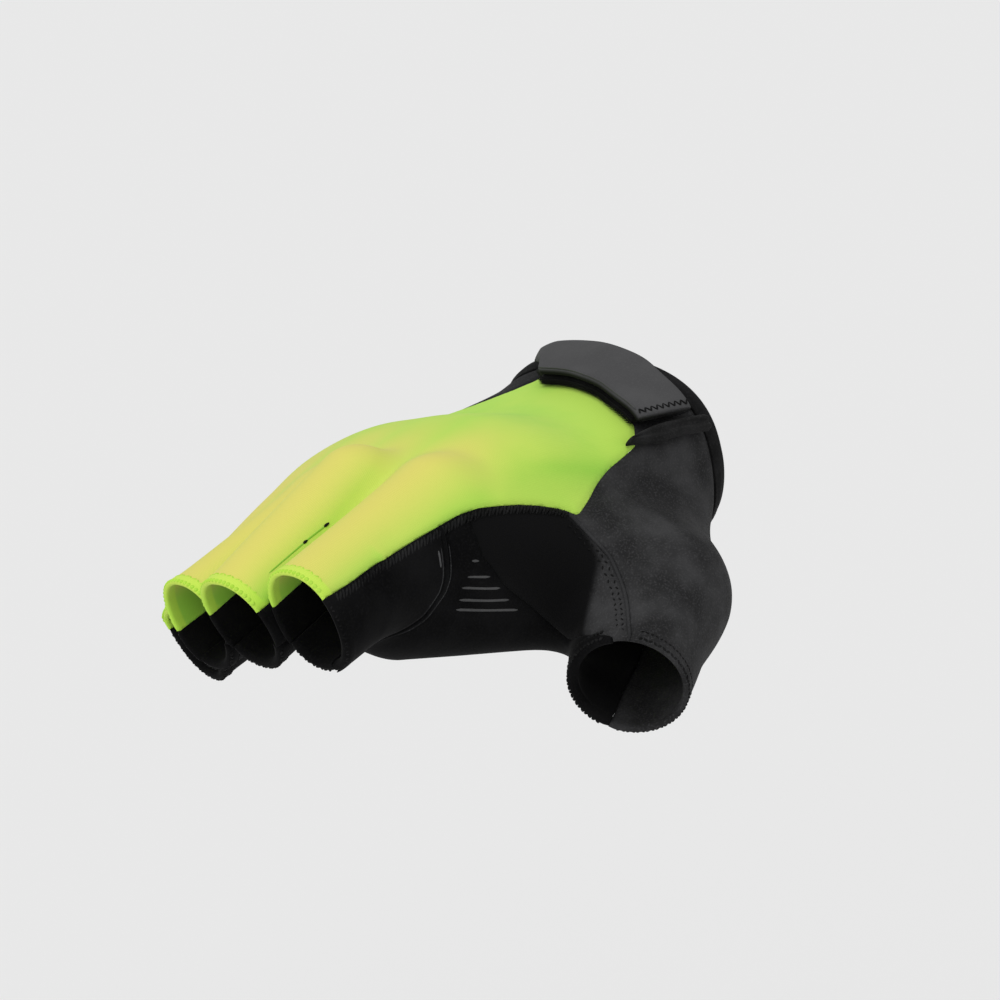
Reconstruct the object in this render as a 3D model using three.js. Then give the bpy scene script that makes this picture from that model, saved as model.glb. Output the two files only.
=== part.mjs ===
// A fingerless cycling glove for the right hand, palm down, in the form it has when it is worn.
// +X runs from the wrist opening to the fingers, +Y to the thumb side, +Z to the back of the hand.
// The origin is the centre of the wrist opening.
import * as THREE from 'three';

// Driving sizes of the hand form, in millimetres
const palmLength = 100;
const palmDepth = 41;
const fingerWidth = 19.8;
const fingerGap = 0.8;
const fingerLength = 41;
const fingerDepth = 25;
const thumbLength = 66;
const thumbWidth = 24;

// Driving sizes of the cloth and the closure
const openingTilt = 12;
const cuffWidth = 3.6;
const fourchetteWidth = 10;
const backWall = 1.0;
const sideWall = 1.3;
const palmWall = 2.0;
const seamGap = 0.4;
const tabWidth = 15;
const tabWall = 2.2;
const hookWall = 1.8;
const anchorWall = 3.2;
const layerGap = 0.35;
const hookInset = 0.8;
const cornerRadius = 6;
const cuffRaise = 0.5;

// Fineness of the surface mesh
const cell = 4.3;
const longCell = 5.2;
const blend = 4;

// What follows from them
const fingerPitch = fingerWidth + fingerGap;
const palmWidth = 4 * fingerPitch;
const degree = Math.PI / 180;

// Cross-sections of the palm, wrist first. Station is a share of palmLength; half and side are
// shares of palmWidth; rise, up and down are shares of palmDepth; roll is in degrees.
const palmSections = [
  { station: -0.16, side: 0.003, rise: 0.02, half: 0.344, up: 0.49, down: 0.5, roll: 0 },
  { station: -0.02, side: -0.003, rise: 0.1, half: 0.39, up: 0.51, down: 0.52, roll: 2 },
  { station: 0.15, side: -0.008, rise: 0.03, half: 0.425, up: 0.435, down: 0.595, roll: 5 },
  { station: 0.35, side: -0.057, rise: 0, half: 0.48, up: 0.378, down: 0.605, roll: 8 },
  { station: 0.55, side: -0.077, rise: 0.046, half: 0.514, up: 0.38, down: 0.58, roll: 11 },
  { station: 0.75, side: -0.045, rise: -0.049, half: 0.485, up: 0.347, down: 0.533, roll: 13 },
  { station: 0.9, side: -0.047, rise: -0.175, half: 0.47, up: 0.255, down: 0.41, roll: 13 },
  { station: 1.0, side: -0.055, rise: -0.28, half: 0.45, up: 0.19, down: 0.272, roll: 13 },
];

// Fingers. Root is a share of palmLength and rise of palmDepth; side and mouthSide are shares of
// fingerPitch; reach and drop are shares of fingerLength; the rest are shares of the finger's
// width or depth at the root and at the mouth.
const fingers = [
  {
    name: 'index', root: 0.77, side: 1.165, rise: 0.12, reach: 0.95, mouthSide: 1.26, drop: 0.33,
    rootWidth: 0.54, mouthWidth: 0.495, rootDepth: 0.5, mouthDepth: 0.475,
  },
  {
    name: 'middle', root: 0.805, side: 0.218, rise: 0.146, reach: 0.89, mouthSide: 0.257, drop: 0.44,
    rootWidth: 0.54, mouthWidth: 0.495, rootDepth: 0.52, mouthDepth: 0.465,
  },
  {
    name: 'ring', root: 0.75, side: -0.67, rise: -0.08, reach: 0.925, mouthSide: -0.743, drop: 0.315,
    rootWidth: 0.53, mouthWidth: 0.49, rootDepth: 0.5, mouthDepth: 0.44,
  },
  {
    name: 'little', root: 0.7, side: -1.511, rise: -0.309, reach: 0.73, mouthSide: -1.69, drop: 0.336,
    rootWidth: 0.5, mouthWidth: 0.44, rootDepth: 0.44, mouthDepth: 0.39,
  },
];

// Rounded volumes that make the thumb, the web beside it and the pad of the palm. Along is a share
// of palmLength, side of palmWidth, rise of palmDepth, and radius of thumbWidth.
const thumbBase = { along: 0.071, side: 0.156, rise: -0.229, radius: 0.494 };
const webRoot = { along: 0.415, side: 0.455, rise: -0.298, radius: 0.4 };
const webEnd = { along: 0.696, side: 0.364, rise: -0.087, radius: 0.378 };
const padFront = { along: 0.865, side: 0.24, rise: -0.343, radius: 0.419 };
const padHeel = { along: 0.461, side: 0.344, rise: -0.446, radius: 0.511 };
// Thumb joints as shares of thumbLength from the base: how far along, to the side and down.
const thumbKnuckle = { along: 0.413, side: 0.425, rise: -0.172, radius: 0.677 };
const thumbMouth = { along: 0.76, side: 0.658, rise: -0.345, radius: 0.465 };

// Borders between the panels. Each is a table of two named columns, read in straight steps.
// The lower edge of the back panel on the thumb side and on the little finger's side.
const radialEdge = [
  { along: 0, level: 0.36 }, { along: 0.18, level: 0.34 }, { along: 0.277, level: 0.24 },
  { along: 0.363, level: 0.18 }, { along: 0.451, level: 0.091 }, { along: 0.523, level: 0.037 },
  { along: 0.566, level: 0.09 }, { along: 0.617, level: 0.131 }, { along: 0.668, level: 0.162 },
  { along: 0.718, level: 0.181 }, { along: 0.768, level: 0.191 }, { along: 0.812, level: 0.181 },
  { along: 0.854, level: 0.157 }, { along: 0.938, level: 0.109 }, { along: 1.026, level: 0.049 },
  { along: 1.102, level: -0.009 }, { along: 1.2, level: -0.07 },
];
const ulnarEdge = [
  { along: 0, level: -0.02 }, { along: 0.2, level: -0.08 }, { along: 0.4, level: -0.15 },
  { along: 0.6, level: -0.23 }, { along: 0.75, level: -0.32 }, { along: 0.9, level: -0.5 },
  { along: 1.05, level: -0.64 },
];
// The wrist edge of the back panel, by side (share of palmWidth).
const loopEdge = [
  { side: -0.5, along: 0.3 }, { side: -0.27, along: 0.24 }, { side: -0.19, along: 0.17 },
  { side: -0.14, along: 0.115 }, { side: -0.1, along: 0.125 }, { side: 0.045, along: 0.157 },
  { side: 0.172, along: 0.188 }, { side: 0.272, along: 0.212 }, { side: 0.349, along: 0.231 },
  { side: 0.4, along: 0.27 },
];
// The seam between the thumb panel and the gusset, by level (share of palmDepth), measured
// outward from the thumb's axis as a share of thumbWidth.
const thumbSeam = [
  { level: -1.05, out: -0.25 }, { level: -0.75, out: -0.12 }, { level: -0.6, out: 0.02 },
  { level: -0.5, out: 0.1 }, { level: -0.39, out: 0.03 }, { level: -0.17, out: -0.17 },
  { level: 0.05, out: -0.5 }, { level: 0.5, out: -1.1 },
];
// The seam between the gusset and the palm, first by level and then round the thumb's base, and
// the wrist end of the index finger's side patch.
const gussetSeam = [
  { level: -0.9, along: 0.46 }, { level: -0.62, along: 0.58 }, { level: -0.39, along: 0.66 },
  { level: -0.22, along: 0.735 }, { level: -0.05, along: 0.785 }, { level: 0.2, along: 0.8 },
];
const gussetHem = [
  { along: 0.4, side: 0.62 }, { along: 0.45, side: 0.56 }, { along: 0.5, side: 0.46 },
  { along: 0.6, side: 0.425 }, { along: 0.8, side: 0.36 },
];
const patchSeam = [
  { level: -0.5, along: 1.0 }, { level: -0.4, along: 0.945 }, { level: -0.32, along: 0.895 },
  { level: -0.2, along: 0.862 }, { level: -0.13, along: 0.857 }, { level: 0.2, along: 0.865 },
];

// Small vector helpers
const add = (a, b, s = 1) => [a[0] + b[0] * s, a[1] + b[1] * s, a[2] + b[2] * s];
const dot = (a, b) => a[0] * b[0] + a[1] * b[1] + a[2] * b[2];
const cross = (a, b) => [a[1] * b[2] - a[2] * b[1], a[2] * b[0] - a[0] * b[2], a[0] * b[1] - a[1] * b[0]];
const unit = (a) => {
  const length = Math.hypot(...a) || 1;
  return [a[0] / length, a[1] / length, a[2] / length];
};

function smoothUnion(a, b, radius) {
  const share = Math.min(Math.max(0.5 + (0.5 * (b - a)) / radius, 0), 1);
  return b * (1 - share) + a * share - radius * share * (1 - share);
}

// Reads a table in straight steps between its rows
function readTable(rows, from, to, value) {
  const last = rows.length - 1;
  if (value <= rows[0][from]) return rows[0][to];
  if (value >= rows[last][from]) return rows[last][to];
  const i = rows.findIndex((row) => row[from] > value);
  const share = (value - rows[i - 1][from]) / (rows[i][from] - rows[i - 1][from]);
  return rows[i - 1][to] + (rows[i][to] - rows[i - 1][to]) * share;
}

// Reads a table with eased slopes, so that the form has no bands
function readSmooth(rows, from, to, value) {
  const last = rows.length - 1;
  if (value <= rows[0][from]) return rows[0][to];
  if (value >= rows[last][from]) return rows[last][to];
  const i = rows.findIndex((row) => row[from] > value) - 1;
  const slope = (j) => {
    const a = Math.max(j - 1, 0);
    const b = Math.min(j + 1, last);
    return (rows[b][to] - rows[a][to]) / (rows[b][from] - rows[a][from]);
  };
  const span = rows[i + 1][from] - rows[i][from];
  const t = (value - rows[i][from]) / span;
  const rise = rows[i + 1][to] - rows[i][to];
  const bend = (slope(i) * span - rise) * (1 - t) - (slope(i + 1) * span - rise) * t;
  return rows[i][to] + rise * t + t * (1 - t) * bend;
}

// The palm as a field: negative inside, about the distance in millimetres outside
function palmField(p) {
  const station = p[0] / palmLength;
  const read = (column) => readSmooth(palmSections, 'station', column, station);
  const angle = read('roll') * degree;
  const y = p[1] - read('side') * palmWidth;
  const z = p[2] - read('rise') * palmDepth;
  const across = y * Math.cos(angle) + z * Math.sin(angle);
  const height = z * Math.cos(angle) - y * Math.sin(angle);
  const half = read('half') * palmWidth;
  const tall = (height > 0 ? read('up') : read('down')) * palmDepth;
  // Off the surface the field changes over softly between the back's height and the palm's
  const lean = Math.min(Math.max(0.5 + height / (0.3 * palmDepth), 0), 1);
  const eased = lean * lean * (3 - 2 * lean);
  const scale = (read('down') + (read('up') - read('down')) * eased) * palmDepth;
  const squareness = 2.4;
  const sum = Math.abs(across / half) ** squareness + Math.abs(height / tall) ** squareness;
  const wall = (sum ** (1 / squareness) - 1) * Math.min(half, scale) * 0.95;
  return Math.max(wall, p[0] - palmLength, palmSections[0].station * palmLength - p[0]);
}

const fingerFrames = fingers.map((row) => {
  const root = [row.root * palmLength, row.side * fingerPitch, row.rise * palmDepth];
  const reach = row.reach * fingerLength;
  const mouth = [root[0] + reach, row.mouthSide * fingerPitch, root[2] - row.drop * fingerLength];
  const along = unit(add(mouth, root, -1));
  const up = unit(add([0, 0, 1], along, -along[2]));
  const side = cross(up, along);
  return { row, root, mouth, along, up, side, length: Math.hypot(...add(mouth, root, -1)) };
});

function fingerField(p, frame) {
  const q = add(p, frame.root, -1);
  const t = dot(q, frame.along);
  const share = Math.min(Math.max(t / frame.length, -0.3), 1.3);
  const { rootWidth, mouthWidth, rootDepth, mouthDepth } = frame.row;
  const half = (rootWidth + (mouthWidth - rootWidth) * share) * fingerWidth;
  const tall = (rootDepth + (mouthDepth - rootDepth) * share) * fingerDepth;
  const roundness = 2.2;
  const across = Math.abs(dot(q, frame.side) / half) ** roundness;
  const height = Math.abs(dot(q, frame.up) / tall) ** roundness;
  const wall = ((across + height) ** (1 / roundness) - 1) * Math.min(half, tall);
  const beyond = t - frame.length - 2 * cell;
  if (t >= 0) return Math.max(wall, beyond);
  return Math.hypot(Math.max(wall + half, 0), t) - half;
}

// A ball's centre and radius from a row of shares
const palmBall = (row) => ({
  centre: [row.along * palmLength, row.side * palmWidth, row.rise * palmDepth],
  radius: row.radius * thumbWidth,
});
const base = palmBall(thumbBase);
const thumbBall = (row) => ({
  centre: add(base.centre, [row.along, row.side, row.rise], thumbLength),
  radius: row.radius * thumbWidth,
});
const knuckle = thumbBall(thumbKnuckle);
const mouth = thumbBall(thumbMouth);
const thumbAlong = unit(add(mouth.centre, knuckle.centre, -1));
const thumbTip = {
  centre: add(mouth.centre, thumbAlong, 3 * cell),
  radius: mouth.radius,
};
const thumbOut = unit([-thumbAlong[1], thumbAlong[0], 0]);

// A tapered rod with round ends between two balls
function rodField(p, a, b) {
  const axis = add(b.centre, a.centre, -1);
  const q = add(p, a.centre, -1);
  const share = Math.min(Math.max(dot(q, axis) / dot(axis, axis), 0), 1);
  return Math.hypot(...add(q, axis, -share)) - (a.radius + (b.radius - a.radius) * share);
}

// The whole outer form of the glove
function formField(p) {
  let field = palmField(p);
  const thumb = smoothUnion(rodField(p, base, knuckle), rodField(p, knuckle, thumbTip), 1.5 * blend);
  field = smoothUnion(field, thumb, 2.2 * blend);
  field = smoothUnion(field, rodField(p, palmBall(webRoot), palmBall(webEnd)), 2.5 * blend);
  field = smoothUnion(field, rodField(p, palmBall(padFront), palmBall(padHeel)), 2 * blend);
  const finger = Math.min(...fingerFrames.map((frame) => fingerField(p, frame)));
  return smoothUnion(field, finger, blend);
}

function fieldNormal(p) {
  const step = 0.3;
  const slope = [0, 1, 2].map((axis) => {
    const shift = [0, 0, 0];
    shift[axis] = step;
    return formField(add(p, shift)) - formField(add(p, shift, -1));
  });
  return unit(slope);
}

// Where a finger's axis lies at a station along the hand
function axisAt(frame, x) {
  const share = Math.max((x - frame.root[0]) / (frame.mouth[0] - frame.root[0]), 0);
  return add(frame.root, add(frame.mouth, frame.root, -1), share);
}

// The middle of the gap between two neighbouring fingers
function gapAt(k, x) {
  const a = axisAt(fingerFrames[k], x);
  const b = axisAt(fingerFrames[k + 1], x);
  return { side: (a[1] + b[1]) / 2, level: (a[2] + b[2]) / 2 };
}

// Grid lines across the hand pass through the middles of the gaps, so that the gaps stay open.
const gaps = fingers.slice(1).map((row, k) => k).reverse();
const ulnarReach = -0.64 * palmWidth;
const radialReach = 0.94 * palmWidth;
const spanWidths = [0.32 * palmWidth, fingerPitch, fingerPitch, 0.75 * palmWidth];
const spanCells = spanWidths.map((width) => Math.round(width / cell));

function crossLines(x) {
  const marks = [ulnarReach, ...gaps.map((k) => gapAt(k, x).side), radialReach];
  const lines = [marks[0]];
  spanCells.forEach((count, span) => {
    for (let i = 1; i <= count; i += 1) {
      lines.push(marks[span] + ((marks[span + 1] - marks[span]) * i) / count);
    }
  });
  return lines;
}

function evenLines(from, to, step) {
  const count = Math.ceil((to - from) / step);
  return Array.from({ length: count + 1 }, (unused, i) => from + i * step);
}

// The grid of sample points in which the surface is found
function sampleGrid() {
  const farthest = Math.max(...fingerFrames.map((frame) => frame.mouth[0])) + 3 * cell;
  const xs = evenLines(-2.5 * longCell, farthest, longCell);
  const zs = evenLines(-1.4 * palmDepth, 0.75 * palmDepth, cell);
  const ys = xs.map(crossLines);
  const size = [xs.length, ys[0].length, zs.length];
  const point = (i, j, k) => [xs[i], ys[i][j], zs[k]];
  const index = (i, j, k) => (i * size[1] + j) * size[2] + k;
  const value = new Float32Array(size[0] * size[1] * size[2]);
  for (let i = 0; i < size[0]; i += 1) {
    for (let j = 0; j < size[1]; j += 1) {
      for (let k = 0; k < size[2]; k += 1) value[index(i, j, k)] = formField(point(i, j, k));
    }
  }
  return { size, point, index, value };
}

// The corners of a grid cell, and its edges as pairs of corners
const corners = [0, 1, 2, 3, 4, 5, 6, 7].map((n) => [n >> 2, (n >> 1) & 1, n & 1]);
const cornerNumber = (step) => step[0] * 4 + step[1] * 2 + step[2];
const apart = (a, b) => corners[a].filter((step, i) => step !== corners[b][i]).length;
const cornerPairs = corners.flatMap((unused, a) => corners.map((alsoUnused, b) => [a, b]))
  .filter(([a, b]) => a < b);
const cellEdges = cornerPairs.filter(([a, b]) => apart(a, b) === 1);
const faceDiagonals = cornerPairs.filter(([a, b]) => apart(a, b) === 2).map(([a, b]) => {
  const others = [0, 1, 2, 3, 4, 5, 6, 7].filter((n) => n !== a && n !== b);
  return [a, b, others.filter((n) => apart(a, n) === 1 && apart(b, n) === 1)];
});

// The corners of a cell that hang together, so that two sheets in one cell stay two sheets
function cornerGroups(inside) {
  const group = corners.map((unused, n) => n);
  const join = (a, b) => {
    const from = group[b];
    const to = group[a];
    group.forEach((value, n) => {
      if (value === from) group[n] = to;
    });
  };
  cellEdges.forEach(([a, b]) => inside[a] === inside[b] && join(a, b));
  faceDiagonals.forEach(([a, b, others]) => {
    if (!inside[a] && !inside[b] && others.every((n) => inside[n])) join(a, b);
  });
  return group;
}

function readCell(grid, place) {
  const nodes = corners.map((step) => place.map((value, i) => value + step[i]));
  const values = nodes.map((node) => grid.value[grid.index(...node)]);
  const inside = values.map((value) => value < 0);
  return { nodes, values, inside, group: cornerGroups(inside) };
}

// The surface point of one sheet in a cell, drawn onto the form
function sheetPoint(grid, cellData, inner, outer) {
  const { nodes, values, inside, group } = cellData;
  const crossed = cellEdges.filter(([a, b]) => {
    const pair = inside[a] ? [group[a], group[b]] : [group[b], group[a]];
    return inside[a] !== inside[b] && pair[0] === inner && pair[1] === outer;
  });
  const places = crossed.map(([a, b]) => {
    const start = grid.point(...nodes[a]);
    const step = add(grid.point(...nodes[b]), start, -1);
    return add(start, step, values[a] / (values[a] - values[b]));
  });
  let point = places.reduce((sum, place) => add(sum, place, 1 / places.length), [0, 0, 0]);
  for (let round = 0; round < 2; round += 1) {
    point = add(point, fieldNormal(point), -formField(point));
  }
  return point;
}

// The outer surface as a mesh of points and triangles
function formSurface() {
  const grid = sampleGrid();
  const points = [];
  const faces = [];
  const found = new Map();
  const pointFor = (place, from, to) => {
    const data = readCell(grid, place);
    const [a, b] = [from, to].map((node) => cornerNumber(node.map((step, n) => step - place[n])));
    const [inner, outer] = data.inside[a] ? [data.group[a], data.group[b]] : [data.group[b], data.group[a]];
    const key = `${place} ${inner} ${outer}`;
    if (!found.has(key)) {
      found.set(key, points.length);
      points.push(sheetPoint(grid, data, inner, outer));
    }
    return found.get(key);
  };
  const far = (a, b) => Math.hypot(...add(points[a], points[b], -1));
  for (let i = 1; i < grid.size[0] - 1; i += 1) {
    for (let j = 1; j < grid.size[1] - 1; j += 1) {
      for (let k = 1; k < grid.size[2] - 1; k += 1) {
        const node = [i, j, k];
        const inside = grid.value[grid.index(...node)] < 0;
        for (let axis = 0; axis < 3; axis += 1) {
          const next = node.map((step, n) => (n === axis ? step + 1 : step));
          if (grid.value[grid.index(...next)] < 0 !== inside) {
            const b = (axis + 1) % 3;
            const c = (axis + 2) % 3;
            const ring = [[1, 1], [0, 1], [0, 0], [1, 0]].map(([backB, backC]) => {
              const place = [i, j, k];
              place[b] -= backB;
              place[c] -= backC;
              return pointFor(place, node, next);
            });
            if (!inside) ring.reverse();
            if (far(ring[0], ring[2]) > far(ring[1], ring[3])) ring.push(ring.shift());
            faces.push([ring[0], ring[1], ring[2]], [ring[0], ring[2], ring[3]]);
          }
        }
      }
    }
  }
  for (let round = 0; round < 3; round += 1) evenOut(points, faces);
  return { points, faces, panels: faces.map(() => 'palm_panel') };
}

// Moves each point towards the middle of its neighbours and back onto the form
function evenOut(points, faces) {
  const sums = points.map(() => [0, 0, 0]);
  const counts = points.map(() => 0);
  faces.forEach((face) => face.forEach((a, i) => {
    const b = face[(i + 1) % 3];
    sums[a] = add(sums[a], points[b]);
    counts[a] += 1;
  }));
  sums.forEach((sum, a) => {
    const middle = sum.map((value) => value / counts[a]);
    const eased = add(points[a].map((value) => value * 0.4), middle, 0.6);
    const normal = fieldNormal(eased);
    const off = Math.min(Math.max(formField(eased), -0.5), 0.5);
    points[a] = add(eased, normal, -off);
  });
}

// The outward normal at each point, averaged over the faces round it
function pointNormals({ points, faces }) {
  const sums = points.map(() => [0, 0, 0]);
  faces.forEach(([a, b, c]) => {
    const normal = cross(add(points[b], points[a], -1), add(points[c], points[a], -1));
    [a, b, c].forEach((p) => {
      sums[p] = add(sums[p], normal);
    });
  });
  return sums.map(unit);
}

// Cuts one panel of the surface along the zero line of a field. What lies on the positive side
// becomes a panel of its own. Points close to the line are first drawn onto it.
function cutPanel(surface, panel, field, name) {
  const { points } = surface;
  const value = new Map();
  const own = surface.faces.filter((face, i) => surface.panels[i] === panel);
  own.flat().forEach((p) => value.set(p, value.get(p) ?? field(points[p])));
  const closeShare = 0.14;
  const drawn = new Map();
  const onLine = (p) => value.get(p) === 0;
  const crossing = (a, b) => !onLine(a) && !onLine(b) && value.get(a) < 0 !== value.get(b) < 0;
  for (const face of own) {
    face.forEach((a, i) => {
      const b = face[(i + 1) % 3];
      if (crossing(a, b)) {
        const share = value.get(a) / (value.get(a) - value.get(b));
        const place = add(points[a], add(points[b], points[a], -1), share);
        if (share < closeShare && !drawn.has(a)) drawn.set(a, place);
        if (share > 1 - closeShare && !drawn.has(b)) drawn.set(b, place);
      }
    });
  }
  drawn.forEach((place, p) => {
    points[p] = place;
    value.set(p, 0);
  });
  const middles = new Map();
  const middle = (a, b) => {
    const key = a < b ? `${a} ${b}` : `${b} ${a}`;
    if (!middles.has(key)) {
      const share = value.get(a) / (value.get(a) - value.get(b));
      middles.set(key, points.length);
      points.push(add(points[a], add(points[b], points[a], -1), share));
    }
    return middles.get(key);
  };
  const faces = [];
  const panels = [];
  const keep = (face, positive) => {
    faces.push(face);
    panels.push(positive ? name : panel);
  };
  surface.faces.forEach((face, n) => {
    if (surface.panels[n] !== panel) {
      faces.push(face);
      panels.push(surface.panels[n]);
      return;
    }
    const signs = face.map((p) => Math.sign(value.get(p)));
    const high = signs.filter((sign) => sign > 0).length;
    const low = signs.filter((sign) => sign < 0).length;
    if (high === 0 || low === 0) {
      const centre = face.reduce((sum, p) => add(sum, points[p], 1 / 3), [0, 0, 0]);
      keep(face, high === low ? field(centre) > 0 : high > 0);
      return;
    }
    // Turn the face so that its first point is alone on its side, or on the line
    const first = high + low === 2
      ? signs.indexOf(0)
      : signs.findIndex((sign) => signs.filter((other) => other === sign).length === 1);
    const [a, b, c] = [0, 1, 2].map((step) => face[(first + step) % 3]);
    if (high + low === 2) {
      const m = middle(b, c);
      keep([a, b, m], value.get(b) > 0);
      keep([a, m, c], value.get(c) > 0);
      return;
    }
    const m = middle(a, b);
    const n2 = middle(a, c);
    keep([a, m, n2], value.get(a) > 0);
    keep([m, b, c], value.get(b) > 0);
    keep([m, c, n2], value.get(b) > 0);
  });
  surface.faces = faces;
  surface.panels = panels;
}

// Gives each small offcut of a panel to the panel that it has the longest border with
function joinOffcuts(surface) {
  const { faces, panels } = surface;
  const sides = new Map();
  faces.forEach((face, n) => face.forEach((a, i) => sides.set(`${a} ${face[(i + 1) % 3]}`, n)));
  const beside = faces.map((face) => face.map((a, i) => sides.get(`${face[(i + 1) % 3]} ${a}`)));
  const largest = new Map();
  const pieces = [];
  const seen = new Set();
  faces.forEach((unused, start) => {
    if (seen.has(start)) return;
    const piece = [start];
    seen.add(start);
    for (let i = 0; i < piece.length; i += 1) {
      beside[piece[i]].forEach((n) => {
        if (n === undefined || seen.has(n) || panels[n] !== panels[start]) return;
        seen.add(n);
        piece.push(n);
      });
    }
    pieces.push(piece);
    const name = panels[start];
    if (piece.length > (largest.get(name)?.length ?? 0)) largest.set(name, piece);
  });
  pieces.filter((piece) => panels[piece[0]] !== 'opening').forEach((piece) => {
    if (largest.get(panels[piece[0]]) === piece) return;
    const borders = new Map();
    piece.flatMap((n) => beside[n]).filter((n) => n !== undefined).forEach((n) => {
      const other = panels[n];
      if (other !== panels[piece[0]]) borders.set(other, (borders.get(other) ?? 0) + 1);
    });
    const [host] = [...borders.entries()].sort((a, b) => b[1] - a[1])[0];
    piece.forEach((n) => {
      panels[n] = host;
    });
  });
}

// The level at which the back panel ends, at any place on the hand
function backLevel(p) {
  const along = p[0] / palmLength;
  const cover = 0.16 * fingerDepth;
  const rows = [
    { side: -0.48 * palmWidth, level: readTable(ulnarEdge, 'along', 'level', along) * palmDepth },
    ...gaps.map((k) => ({ side: gapAt(k, p[0]).side, level: gapAt(k, p[0]).level + cover })),
    { side: 0.39 * palmWidth, level: readTable(radialEdge, 'along', 'level', along) * palmDepth },
  ];
  return readTable(rows, 'side', 'level', p[1]);
}

// How far a place lies inside the tilted plane of the wrist opening
function fromOpening(p) {
  return p[0] * Math.cos(openingTilt * degree) - p[2] * Math.sin(openingTilt * degree);
}

const overBack = (p) => p[2] - backLevel(p);
const overLoop = (p) => readTable(loopEdge, 'side', 'along', p[1] / palmWidth) * palmLength - p[0];

function overThumb(p) {
  const out = readTable(thumbSeam, 'level', 'out', p[2] / palmDepth) * thumbWidth;
  return dot(add(p, mouth.centre, -1), thumbOut) - out;
}

function overGusset(p) {
  const seam = readTable(gussetSeam, 'level', 'along', p[2] / palmDepth) * palmLength;
  const hem = readTable(gussetHem, 'along', 'side', p[0] / palmLength) * palmWidth;
  return smoothUnion(seam - p[0], p[1] - hem, 2 * blend);
}

function overPatch(p) {
  const seam = readTable(patchSeam, 'level', 'along', p[2] / palmDepth) * palmLength;
  const under = axisAt(fingerFrames[0], p[0])[1] + 0.15 * fingerWidth;
  return smoothUnion(p[0] - seam, p[1] - under, 1.5 * blend);
}

function overFourchette(p, k) {
  const level = fourchetteWidth - (backLevel(p) - p[2]);
  const across = fingerPitch / 2 - Math.abs(p[1] - gapAt(k, p[0]).side);
  return Math.min(level, across, p[0] - fingerFrames[k].root[0]);
}

function beyondFinger(p, frame) {
  const q = add(p, frame.mouth, -1);
  const far = Math.abs(dot(q, frame.side)) > 0.6 * fingerWidth || dot(q, frame.along) < -fingerLength / 3;
  return far ? -1 : dot(q, frame.along);
}

function beyondThumb(p) {
  const q = add(p, mouth.centre, -1);
  const t = dot(q, thumbAlong);
  const away = Math.hypot(...add(q, thumbAlong, -t));
  return away > 0.72 * thumbWidth ? -1 : t;
}

// The form's surface with its openings, shared out into the panels
function cutGlove() {
  const surface = formSurface();
  const cut = (panel, field, name) => cutPanel(surface, panel, field, name);
  cut('palm_panel', (p) => -fromOpening(p), 'opening');
  fingerFrames.forEach((frame) => cut('palm_panel', (p) => beyondFinger(p, frame), 'opening'));
  cut('palm_panel', beyondThumb, 'opening');
  cut('palm_panel', (p) => cuffWidth - fromOpening(p), 'cuff_band');
  cut('palm_panel', overBack, 'back_panel');
  cut('back_panel', overLoop, 'loop_panel');
  cut('palm_panel', overThumb, 'thumb_panel');
  cut('palm_panel', overGusset, 'thumb_gusset');
  cut('palm_panel', overPatch, 'index_side_patch');
  gaps.forEach((k) => cut('palm_panel', (p) => overFourchette(p, k), fourchetteName(k)));
  joinOffcuts(surface);
  surface.normals = pointNormals(surface);
  return surface;
}

function fourchetteName(k) {
  return `fourchette_${fingers[k].name}_${fingers[k + 1].name}`;
}

// Turns a panel of the surface into cloth: a closed wall with a small gap at its seams
function clothPanel(surface, name, wall, raise) {
  const faces = surface.faces.filter((face, i) => surface.panels[i] === name);
  const used = [...new Set(faces.flat())];
  const order = new Map(used.map((p, i) => [p, i]));
  const skin = used.map((p) => surface.points[p]);
  const normals = used.map((p) => surface.normals[p]);
  const local = faces.map((face) => face.map((p) => order.get(p)));
  const edges = new Map();
  local.forEach((face) => face.forEach((a, i) => {
    const b = face[(i + 1) % 3];
    edges.set(`${a} ${b}`, [a, b]);
  }));
  const rim = [...edges.values()].filter(([a, b]) => !edges.has(`${b} ${a}`));
  const inward = skin.map(() => [0, 0, 0]);
  rim.forEach(([a, b]) => {
    const along = unit(add(skin[b], skin[a], -1));
    [a, b].forEach((p) => {
      inward[p] = add(inward[p], cross(normals[p], along));
    });
  });
  const count = skin.length;
  const pulled = skin.map((p, i) => add(p, unit(inward[i]), seamGap / 2));
  const outer = pulled.map((p, i) => add(p, normals[i], raise));
  const inner = pulled.map((p, i) => add(p, normals[i], raise - wall));
  const sheet = [...local, ...local.map(([a, b, c]) => [a + count, c + count, b + count])];
  const walls = rim.flatMap(([a, b]) => [[b, a, a + count], [b, a + count, b + count]]);
  return { points: [...outer, ...inner], faces: [...sheet, ...walls] };
}

// A point on or above the form round the wrist, at an angle from the thumb side to the back
function wristPoint(x, angle, lift) {
  const ray = [0, Math.cos(angle), Math.sin(angle)];
  let near = 0.2 * palmDepth;
  let far = palmWidth;
  for (let round = 0; round < 24; round += 1) {
    const half = (near + far) / 2;
    if (formField([x, ray[1] * half, ray[2] * half]) < 0) near = half;
    else far = half;
  }
  const skin = [x, ray[1] * near, ray[2] * near];
  return add(skin, fieldNormal(skin), lift);
}

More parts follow.
